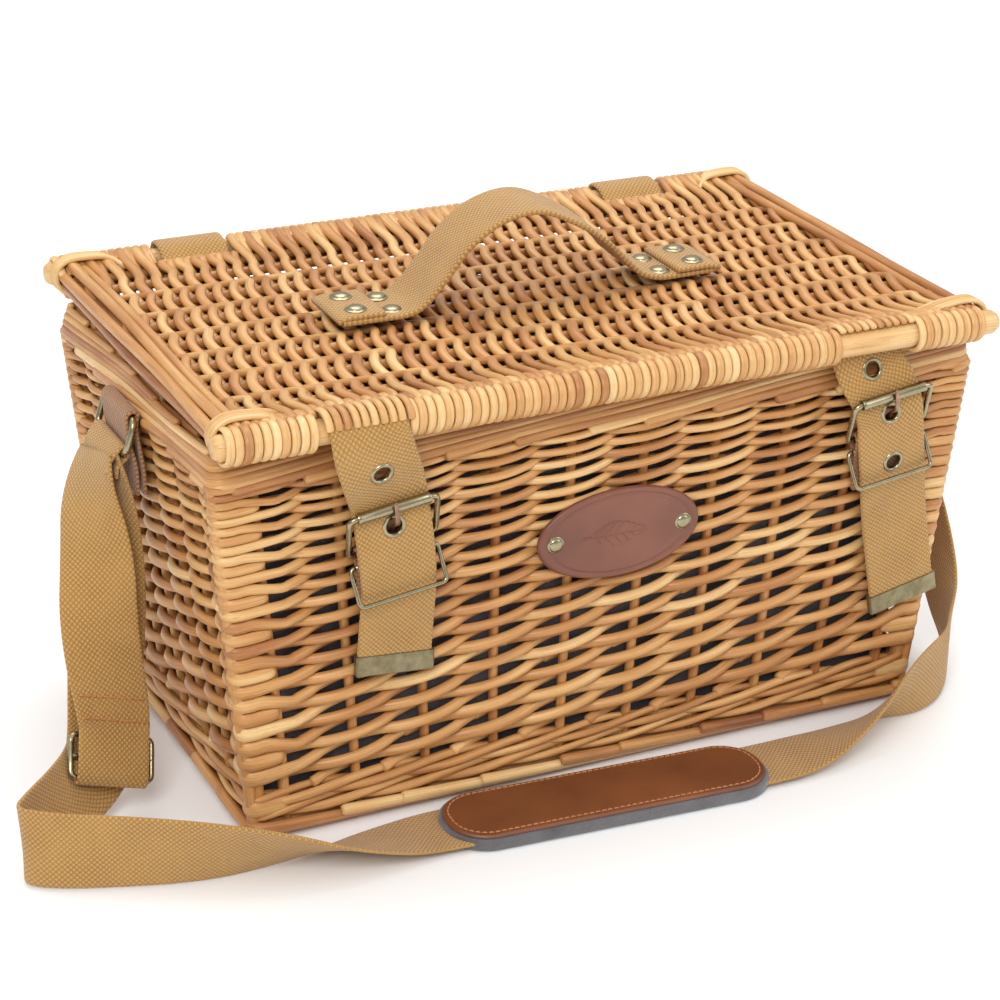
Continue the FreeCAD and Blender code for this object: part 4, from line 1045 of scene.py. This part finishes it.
def buckle(side, closure):
    place = Buckle(*closure["bar"], closure["tilt"])
    frame_line = wire_loop(place.at([(-23, -5, 0), (-23, -14, 24), (23, -14, 24), (23, -5, 0)]), 4.0)
    wire(f"{side}_buckle_wire", frame_line, 1.5, f"{side}_buckle", (f"{side}_buckle_frame",),
         face=place.way((0, -1, 0.001)))
    roller = Lathe()
    half = 18.9
    rim = [(1.75, 0.0), (2.7, 0.0), (2.9, 0.5), (2.9, 1.6), (2.72, 2.0)]
    profile = [(r, h - half) for r, h in rim] + [(2.8, 0.0)] + [(r, half - h) for r, h in rim[::-1]]
    profile.append(profile[0])
    roller.turn(place.at((0, -14, 24))[0], place.way((1, 0, 0)), profile)
    roller.piece(f"{side}_roller_tube", f"{side}_roller", BRASS, "antique_brass", f"{side}_buckle_roller")

    keeper_line = wire_loop(place.at([(-23, -5, -7), (-23, -13, -25), (23, -13, -25), (23, -5, -7)]), 3.0)
    wire(f"{side}_keeper_wire", keeper_line, 1.15, f"{side}_keeper", (f"{side}_buckle_keeper",),
         face=place.way((0, -1, 0.001)))

    tongue = spline(place.at([(0, -3.2, -1.0), (0, -3.4, 1.4), (0, -5.0, 2.6), (0, -6.9, 5.5),
                              (0, -8.2, 10.0), (0, -12.0, 13.5), (0, -16.6, 16.8),
                              (0, -17.6, 21.0), (0, -17.75, 25.0),
                              (0, -17.4, 28.3)]), 1.0)
    taper = np.interp(np.linspace(0, 1, len(tongue)), [0, 0.75, 1], [1.5, 1.45, 1.0])
    prong = Rods()
    prong.add(tongue, taper, place.way((0, -1, 0)), thickness=0.75, tone=0.5, sides=10)
    prong.piece(f"{side}_prong_tongue", f"{side}_prong", PRONG_METAL, "antique_brass", f"{side}_buckle_prong")

    fold = [(-2.2, -31), (-3.4, -22), (-5.2, -10), (-6.9, -4), (-7.8, 0.5), (-6.4, 3.2), (-4.2, 2.8),
            (-2.4, -0.5), (-2.2, -8), (-1.5, -20), (-1.2, -31)]
    line = spline(place.at([(0, y, z) for y, z in fold]), 1.5)
    ribbon(f"{side}_tab_webbing", line, steady(place.way((1, 0, 0)), line), "basket", (f"{side}_buckle_tab",),
           width=WEBBING - 1, thickness=1.7, material=RED_TAPE)


def cut_round(obj, centre, normal, radius):
    """Cuts a round hole through a band."""
    cutter = Lathe()
    cutter.turn(np.array(centre) - np.array(normal) * 6, normal, [(radius, 0.0), (radius, 12.0)])
    mesh = solid("cutter", np.vstack(cutter.points), cutter.faces, smooth=False)
    tool = bpy.data.objects.new("cutter", mesh)
    bpy.context.scene.collection.objects.link(tool)
    hole = obj.modifiers.new("hole", "BOOLEAN")
    hole.operation, hole.solver, hole.object = "DIFFERENCE", "EXACT", tool
    bpy.context.view_layer.update()
    shaped = bpy.data.meshes.new_from_object(obj.evaluated_get(bpy.context.evaluated_depsgraph_get()))
    obj.modifiers.clear()
    old, obj.data = obj.data, shaped
    bpy.data.meshes.remove(old)
    bpy.data.objects.remove(tool)
    bpy.data.meshes.remove(mesh)


def closure_webbing(side, closure):
    route = np.array(closure["route"], float)
    widths = []
    for point in route:
        share = min(1.0, max(0.0, (LEVEL_ABOVE - point[2]) / (LEVEL_ABOVE - TILTED_BELOW)))
        below = max(0.0, (closure["bar"][1] - point[2]) / (closure["bar"][1] - route[-1][2]))
        lean = math.radians(closure["tilt"] * share + (closure["tip_tilt"] - closure["tilt"]) * below)
        widths.append((math.cos(lean), 0, math.sin(lean)))
    both = spline(np.column_stack([route, widths]), 2.0)
    line, across = both[:, :3], unit(both[:, 3:])
    band = ribbon(f"{side}_closure_webbing", line, across, None, (f"{side}_closure_strap",), thickness=2.4)
    rings = Lathe()
    for index in closure["eyelets"]:
        near = int(np.argmin(np.linalg.norm(line - route[index], axis=1)))
        along = unit(line[near + 1] - line[near - 1])
        normal = unit(np.cross(across[near], along))
        cut_round(band, line[near], normal, 4.9)
        rings.eyelet(line[near], normal, 3.9, 6.3, 1.85)
    if "bend" in closure:
        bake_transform(band)
    else:
        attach(band, f"{side}_closure")
    rings.piece(f"{side}_eyelet_rings", f"{side}_closure", BRASS, "antique_brass", f"{side}_eyelets")
    strap_tip(side, line, across)


def strap_tip(side, line, across):
    """A folded brass plate pressed over the strap's end."""
    end, along, width_way = line[-1], unit(line[-1] - line[-4]), across[-1]
    normal = unit(np.cross(width_way, along))
    half, thick, height = WEBBING / 2 + 1.0, 2.15, 11.0
    outline = [(-half + 0.8, -thick), (half - 0.8, -thick), (half, -thick + 0.8), (half, thick - 0.8),
               (half - 0.8, thick), (-half + 0.8, thick), (-half, thick - 0.8), (-half, -thick + 0.8)]
    levels = [(-height + 1.0, 0.95), (-height + 1.0, 1.0), (-2.0, 1.0), (0.4, 0.98), (1.2, 0.6)]
    points = []
    for reach, share in levels:
        narrowed = 1 - (1 - share) * 0.05
        for x, y in outline:
            points.append(end + along * reach + width_way * x * narrowed + normal * y * share)
    quads, ends = skin(len(levels), len(outline))
    mesh = solid("strap_tip", points, [face[::-1] for face in quads + ends], smooth=False)
    plate = finished(f"{side}_tip_plate", mesh, f"{side}_closure", TIP_METAL,
                     (f"{side}_strap_tip",))
    soft = plate.modifiers.new("edges", "BEVEL")
    soft.width, soft.segments, soft.limit_method = 0.35 * MM, 2, "ANGLE"


# ---------------------------------------------------------------- side rings and shoulder strap

RING_BAR_X, RING_BAR_Z = 222.0, 181.0                  # the rings' lower bars, which carry the strap
RING_TOP_X, RING_TOP_Z, RING_HALF = 216.5, 198.5, 23.0


def side_rings():
    for label, side in (("left", -1), ("right", 1)):
        top, bar = (side * RING_TOP_X, RING_TOP_Z), (side * RING_BAR_X, RING_BAR_Z)
        corners = [(x, y, z) for (x, z), y in ((top, -RING_HALF), (bar, -RING_HALF), (bar, RING_HALF),
                                               (top, RING_HALF))]
        wire(f"{label}_ring_wire", wire_loop(corners, 6.0), 1.75, f"{label}_ring", (f"{label}_ring",),
             face=(side, 0, 0.3))
        wall_top, wall_low = half_size(199.0)[0], half_size(158.0)[0]
        fold = [(wall_low + 6.2, 157), (wall_low + 6.6, 172), (wall_top + 5.6, 186), (219.0, 194.0),
                (219.2, 199.5), (216.5, 201.8), (213.4, 200.0), (wall_top + 1.6, 192), (wall_low + 2.8, 170),
                (wall_low + 2.4, 157)]
        line = spline([(side * x, 0, z) for x, z in fold], 1.5)
        ribbon(f"{label}_ring_tab_webbing", line, steady((0, 1.0, 0), line), "basket", (f"{label}_ring_tab",),
               width=WEBBING - 1, thickness=2.0, material=RED_TAPE)


def ring_loops():
    """The strap's turns round the rings' lower bars; the right one ends in a short tail behind the strap."""
    loop = 3.0
    left = [(-225.7, 168), (-224.6, 174), (-220.6, 177.4), (-RING_BAR_X + loop, RING_BAR_Z),
            (-RING_BAR_X, RING_BAR_Z + loop), (-RING_BAR_X - loop, RING_BAR_Z + 0.6), (-228.3, 177.5),
            (-230.6, 170)]
    right = [(226.4, 168), (225.6, 175), (RING_BAR_X + loop, RING_BAR_Z), (RING_BAR_X, RING_BAR_Z + loop),
             (RING_BAR_X - loop, RING_BAR_Z), (219.6, 174), (220.6, 164), (222.0, 156)]
    for label, route in (("left", left), ("right", right)):
        line = spline([(x, 0, z) for x, z in route], 1.0)
        band = ribbon(f"{label}_ring_loop_webbing", line, steady((0, 1.0, 0), line), None,
                      width=WEBBING - 0.8, thickness=1.9)
        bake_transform(band)


LEFT_DROP = [((-225.5, 0, 177), (0, 1, 0)), ((-227, -4, 160), (-0.35, 0.93, -0.1)),
             ((-231, -12, 130), (-0.75, 0.62, 0)), ((-236, -24, 95), (-0.97, 0.2, 0.1)),
             ((-242, -35, 62), (-1, 0, 0.2)), ((-246, -42, 34), (-1, 0, 0.32))]
LEFT_FLOOR = [((-256, -52, 24), (-0.85, -0.1, 0.55)),
              ((-275, -68, 21), (-0.4, 0.1, 0.9)), ((-297, -84, 20.5), (0, 0.1, 1)),
              ((-307, -97, 20.5), (0, 0.25, 1)), ((-293, -109, 20.5), (0, 0.15, 1)),
              ((-262, -123, 20.5), (0, 0, 1)), ((-229, -137, 20), (0, -0.25, 1)),
              ((-195, -146, 17.5), (0, -0.65, 0.9)), ((-160, -148, 10), (0, -1, 0.5)),
              ((-128, -143, 4), (0, -1, 0.12)), ((-100, -141, 3), (0, -1, 0))]
RIGHT_FLOOR = [((76, -150, 3), (0, -1, 0)), ((105, -149.5, 4), (0, -1, 0.05)),
               ((133, -145.5, 9.5), (0, -1, 0.45)), ((152, -142.5, 15), (0, -0.85, 0.8)),
               ((171, -137.5, 19.8), (0, -0.4, 1)), ((192, -131, 21), (0, 0, 1)),
               ((213, -118, 21), (0, 0, 1)), ((228, -98, 27), (-0.2, -0.25, 0.9)),
               ((236, -76, 46), (0, -0.75, 0.65))]
RIGHT_RISE = [((240, -52, 78), (0, -0.85, 0.5)), ((237, -30, 112), (0, -0.9, 0.4)),
              ((229, -10, 148), (0, -1, 0.2)), ((225.5, 0, 177), (0, -1, 0))]
STRAP_NODES = ("shoulder_strap_left_drop", "shoulder_strap_left_floor", "shoulder_strap_pad_run",
               "shoulder_strap_right_floor", "shoulder_strap_right_rise")
PAD_X, PAD_Y, PAD_TURN = -13.0, -146.0, math.radians(-3.5)
FELT_SIZE, LEATHER_SIZE = (180.0, 49.0), (176.0, 45.0)


def pad_place(x, y):
    """A place on the pad, turned to where it lies on the floor."""
    return (PAD_X + x * math.cos(PAD_TURN) - y * math.sin(PAD_TURN),
            PAD_Y + x * math.sin(PAD_TURN) + y * math.cos(PAD_TURN))


def shoulder_strap(with_pieces):
    route = LEFT_DROP + LEFT_FLOOR + RIGHT_FLOOR + RIGHT_RISE
    line, across = smooth_band([p for p, _ in route], [a for _, a in route], 12)
    band = ribbon("shoulder_strap_webbing", line, across, "basket", STRAP_NODES, width=WEBBING - 0.6,
                  thickness=1.9)
    print("shoulder strap along its line:", round(run_along(line)[-1] * MM, 3), "m")


ADJUSTER_TOP = np.array((-244.2, -49.3, 41.9))
ADJUSTER_RIGHT = unit(np.array((1.0, 0.03, -0.32)))
ADJUSTER_DOWN = np.array((-0.55, -0.55, -0.62))
ADJUSTER_DOWN = unit(ADJUSTER_DOWN - ADJUSTER_RIGHT * ADJUSTER_DOWN.dot(ADJUSTER_RIGHT))
ADJUSTER_OUT = np.cross(ADJUSTER_DOWN, ADJUSTER_RIGHT)
ADJUSTER_OUT = ADJUSTER_OUT * -np.sign(ADJUSTER_OUT[1])


def return_webbing():
    """The sewn end between the left ring and the adjuster, folded over the slide's bars and stitched."""
    edge_gap, belly = 4.9, 10.5
    route, widths = [], []
    for i, (centre, direction) in enumerate(LEFT_DROP[:-2]):
        spread = edge_gap + belly * math.sin(math.pi * i / (len(LEFT_DROP) - 1))
        outward = unit(np.array((-0.55, -0.83, 0) if i > 1 else (-1, -0.1, 0)))
        route.append(np.array(centre) + outward * spread)
        widths.append(direction)
    for out, reach in ((4.2, -9), (3.5, 2), (3.5, 14), (3.0, 22), (-0.4, 25.5), (-3.0, 21), (-3.0, 13)):
        route.append(ADJUSTER_TOP + ADJUSTER_OUT * out + ADJUSTER_DOWN * reach)
        widths.append(-ADJUSTER_RIGHT)
    line, across = smooth_band(route, widths, 12)
    band = ribbon("shoulder_strap_return_webbing", line, across, None, ("shoulder_strap_return_ply",),
                  width=WEBBING - 1.4, thickness=1.9)
    fold_length, seam_gap = 46.0, 12.0
    seam = strap_stitching(line, across, (fold_length, fold_length + seam_gap), "return_stitching")
    for piece in (band, seam):
        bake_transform(piece)
    return [band, seam]


def adjuster():
    """The slide: a wire frame with a bar across its middle."""
    half, height = 22.0, 22.0
    left, right = ADJUSTER_TOP - half * ADJUSTER_RIGHT, ADJUSTER_TOP + half * ADJUSTER_RIGHT
    corners = [left, right, right + height * ADJUSTER_DOWN, left + height * ADJUSTER_DOWN]
    rods = Rods()
    rods.add(wire_loop(corners, 4.0), 1.5, ADJUSTER_OUT, sides=12)
    middle = height / 2 * ADJUSTER_DOWN
    rods.add(np.linspace(left + middle, right + middle, 8), 1.4, ADJUSTER_OUT, sides=12)
    return rods.piece("adjuster_wire", "adjuster", BRASS, "antique_brass", "strap_adjuster")


def rounded_outline(length, width, radius, count=20):
    """A rounded rectangle's outline, anticlockwise."""
    points = []
    for cx, cy, first in ((1, -1, -90), (1, 1, 0), (-1, 1, 90), (-1, -1, 180)):
        for angle in np.radians(np.linspace(first, first + 90, count, endpoint=False)):
            points.append((cx * (length / 2 - radius) + radius * math.cos(angle),
                           cy * (width / 2 - radius) + radius * math.sin(angle)))
    return np.array(points)


def pad_plate(name, length, width, levels, material, slot_name, node, cushion):
    """A pad layer: rings of its outline at (inset, height) levels, the top crowned."""
    points = []
    for inset, height in levels:
        outline = rounded_outline(length - 2 * inset, width - 2 * inset, 0.46 * width - inset)
        crown = cushion * (1 - (2 * outline[:, 1] / width) ** 2)
        points += [(*pad_place(x, y), height + c) for (x, y), c in zip(outline, crown)]
    quads, ends = skin(len(levels), len(outline))
    mesh = solid(name, points, quads + ends)
    obj = finished(name, mesh, "shoulder_pad", material, (node,))
    soften(obj, 50)
    return obj


def shoulder_pad():
    """Felt below, a crowned leather strip above, and a stitched line just inside its edge."""
    felt_top = cad_box("pad_felt")[1][2]
    leather_top = cad_box("pad_leather")[1][2]
    felt_levels = [(0.8, 0.3), (0.2, 0.9), (0, 2.0), (0, felt_top - 1.2), (0.5, felt_top - 0.3),
                   (1.2, felt_top)]
    felt = pad_plate("pad_felt_layer", *FELT_SIZE, felt_levels, FELT, "felt", "pad_felt", 0.0)
    leather_levels = [(inset, felt_top + rise) for inset, rise in (
        (0.6, 0.1), (0.0, 0.6), (0.1, 1.3), (0.8, 1.9), (2.2, 2.2), (3.0, 1.9), (3.8, 2.2))]
    leather_levels += [(inset, leather_top - drop) for inset, drop in (
        (6, 0.7), (10, 0.45), (14, 0.35), (18, 0.3))]
    cover = pad_plate("pad_leather_cover", *LEATHER_SIZE, leather_levels, PAD_LEATHER, "pad_leather",
                      "pad_leather", 0.3)
    stitches = Rods()
    outline = rounded_outline(LEATHER_SIZE[0] - 6, LEATHER_SIZE[1] - 6, 17.7, 40)
    outline = np.vstack([outline, outline[:1]])
    run = run_along(outline)
    for start in np.arange(0, run[-1] - 2.0, 3.4):
        at = np.linspace(start, start + 2.2, 4)
        x, y = np.interp(at, run, outline[:, 0]), np.interp(at, run, outline[:, 1])
        z = felt_top + 2.15 + 0.35 * np.sin(np.linspace(0, math.pi, 4))
        stitches.add(np.column_stack([*pad_place(x, y), z]), 0.4, (0, 0, 1), tone=0.5, sides=5)
    thread = stitches.piece("pad_stitching", "shoulder_pad", THREAD, "webbing")
    return [felt, cover, thread]


def strap_stitching(line, across, distances, name):
    run = run_along(line)
    stitches = Rods()
    for distance in distances:
        at = run[-1] - distance
        centre = np.array([np.interp(at, run, line[:, i]) for i in range(3)])
        near = int(np.argmin(np.abs(run - at)))
        way, along = across[near], unit(line[min(near + 1, len(line) - 1)] - line[near - 1])
        normal = unit(np.cross(way, along))
        for face in (-1, 1):
            for s in np.arange(-17.5, 17.0, 3.2):
                t = np.linspace(s, s + 2.3, 4)
                lift = 1.1 + 0.35 * np.sin(np.linspace(0, math.pi, 4))
                stitches.add(centre + t[:, None] * way + face * lift[:, None] * normal, 0.45, normal,
                             tone=0.5, sides=5)
    return stitches.piece(name, None, THREAD, "webbing")


# ---------------------------------------------------------------- name patch

def name_patch():
    """A blank oval of leather with a pressed border and a pressed leaf, held by two domed rivets."""
    low, high = cad_box("name_patch")
    centre = (low + high) / 2
    half_x, half_z = (high[0] - low[0]) / 2 - 0.3, (high[2] - low[2]) / 2 - 0.3
    wall_normal = np.array([0, -math.cos(WALL_LEAN), -math.sin(WALL_LEAN)])
    up = np.array([0, -math.sin(WALL_LEAN), math.cos(WALL_LEAN)])
    right = np.array([1.0, 0, 0])
    foot = np.array([centre[0], -half_size(centre[2])[1], centre[2]])
    rings, around = 64, 220
    angles = np.arange(around) * 2 * math.pi / around
    points = []
    for share in np.arange(rings + 1) / rings:
        for angle in angles:
            x, z = half_x * share * math.cos(angle), half_z * share * math.sin(angle)
            height = 2.6 - 0.55 * math.exp(-((share - 0.87) / 0.022) ** 2)
            height -= 1.3 * max(0.0, (share - 0.955) / 0.045) ** 2
            height += 0.45 * leaf_relief(x, z)
            points.append(foot + right * x + up * z + wall_normal * height)
    index = np.arange((rings + 1) * around).reshape(-1, around)
    ahead = np.roll(index, -1, axis=1)
    faces = np.stack([index[1:-1], index[2:], ahead[2:], ahead[1:-1]], -1).reshape(-1, 4).tolist()
    faces.append(index[1].tolist())
    rim = np.arange(len(points), len(points) + around)
    for angle in angles:
        edge = right * half_x * math.cos(angle) + up * half_z * math.sin(angle)
        points.append(foot + edge + wall_normal * 0.3)
    faces += np.stack([index[-1], rim, np.roll(rim, -1), ahead[-1]], -1).tolist()
    faces.append(rim[::-1].tolist())
    mesh = solid("name_patch_leather", points, faces)
    obj = finished("name_patch_leather", mesh, "basket", PATCH_LEATHER, ("name_patch",))
    soften(obj, 60)
    rivets = Lathe()
    for side in (-1, 1):
        place = foot + right * side * (half_x - 9.5) + wall_normal * 2.2
        rivets.dome(place, wall_normal, 4.6, 2.1)
    rivets.piece("patch_rivet_domes", "basket", BRASS, "antique_brass", "patch_rivets")


def leaf_relief(x, z):
    """The height of the pressed mark at a place on the patch: one leaf with its stalk, midrib and veins."""
    length, half, stalk = 32.0, 7.0, 6.0
    along = x + length / 2
    if not 0 < along < length:
        return -math.exp(-(z / 0.7) ** 2) if -stalk < along <= 0 else 0.0
    edge = half * math.sin(math.pi * (along / length) ** 0.8)
    inside = 1 / (1 + math.exp((abs(z) - edge) / 0.18))
    rib = math.exp(-(z / 0.5) ** 2)
    vein = math.exp(-((((along - 0.9 * abs(z)) % 5.0) - 2.5) / 0.45) ** 2)
    return -1.2 * inside * (1 - 0.9 * max(rib, vein))


carry_handle()
hinge_webbing()
for side_name, closure in CLOSURES.items():
    buckle(side_name, closure)
    closure_webbing(side_name, closure)
side_rings()
pad_pieces = shoulder_pad()
ring_loops()
shoulder_strap([*pad_pieces, adjuster(), *return_webbing()])
name_patch()


# ---------------------------------------------------------------- camera, light and floor

def studio():
    floor = bpy.data.meshes.new("studio_floor")
    reach = 6.0
    floor.from_pydata([(-reach, -reach, 0), (reach, -reach, 0), (reach, reach, 0), (-reach, reach, 0)], [],
                      [(0, 1, 2, 3)])
    material, _, shader = node_tree("studio_white")
    shader.inputs["Base Color"].default_value = (0.90, 0.90, 0.90, 1)
    shader.inputs["Roughness"].default_value = 0.9
    floor.materials.append(material)
    ground = bpy.data.objects.new("studio_floor", floor)
    ground.location.z = -0.0005
    bpy.context.scene.collection.objects.link(ground)

    world = bpy.data.worlds.new("studio")
    world.use_nodes = True
    sky = world.node_tree
    direction = add(sky, "ShaderNodeSeparateXYZ")
    link(sky, add(sky, "ShaderNodeTexCoord").outputs["Generated"], direction.inputs["Vector"])
    shade = ramp(sky, direction.outputs["Z"], [(0.0, (0.42, 0.42, 0.42)), (0.9, (1.0, 1.0, 1.0))])
    link(sky, shade, sky.nodes["Background"].inputs["Color"])
    sky.nodes["Background"].inputs["Strength"].default_value = 1.0
    bpy.context.scene.world = world
    lamps = (("key", (-1.3, -1.9, 2.0), 1.1, 38.0), ("fill", (1.9, -1.5, 1.2), 1.4, 12.0),
             ("top", (0.2, 0.7, 2.3), 1.6, 22.0))
    for name, place, size, power in lamps:
        light = bpy.data.lights.new(name, "AREA")
        light.size = size
        light.energy = power
        lamp = bpy.data.objects.new(name, light)
        lamp.location = place
        towards = Vector((0, 0, 0.12)) - Vector(place)
        lamp.rotation_euler = towards.to_track_quat("-Z", "Y").to_euler()
        bpy.context.scene.collection.objects.link(lamp)

    camera = bpy.data.cameras.new("camera")
    camera.sensor_width = 36.0
    camera.lens = 95.7
    eye = bpy.data.objects.new("camera", camera)
    eye.location = (-0.5805, -1.1853, 0.7010)
    eye.rotation_euler = (1.1484, -0.0152, -0.4449)
    bpy.context.scene.collection.objects.link(eye)
    bpy.context.scene.camera = eye
    bpy.context.scene.view_settings.view_transform = "Standard"


studio()
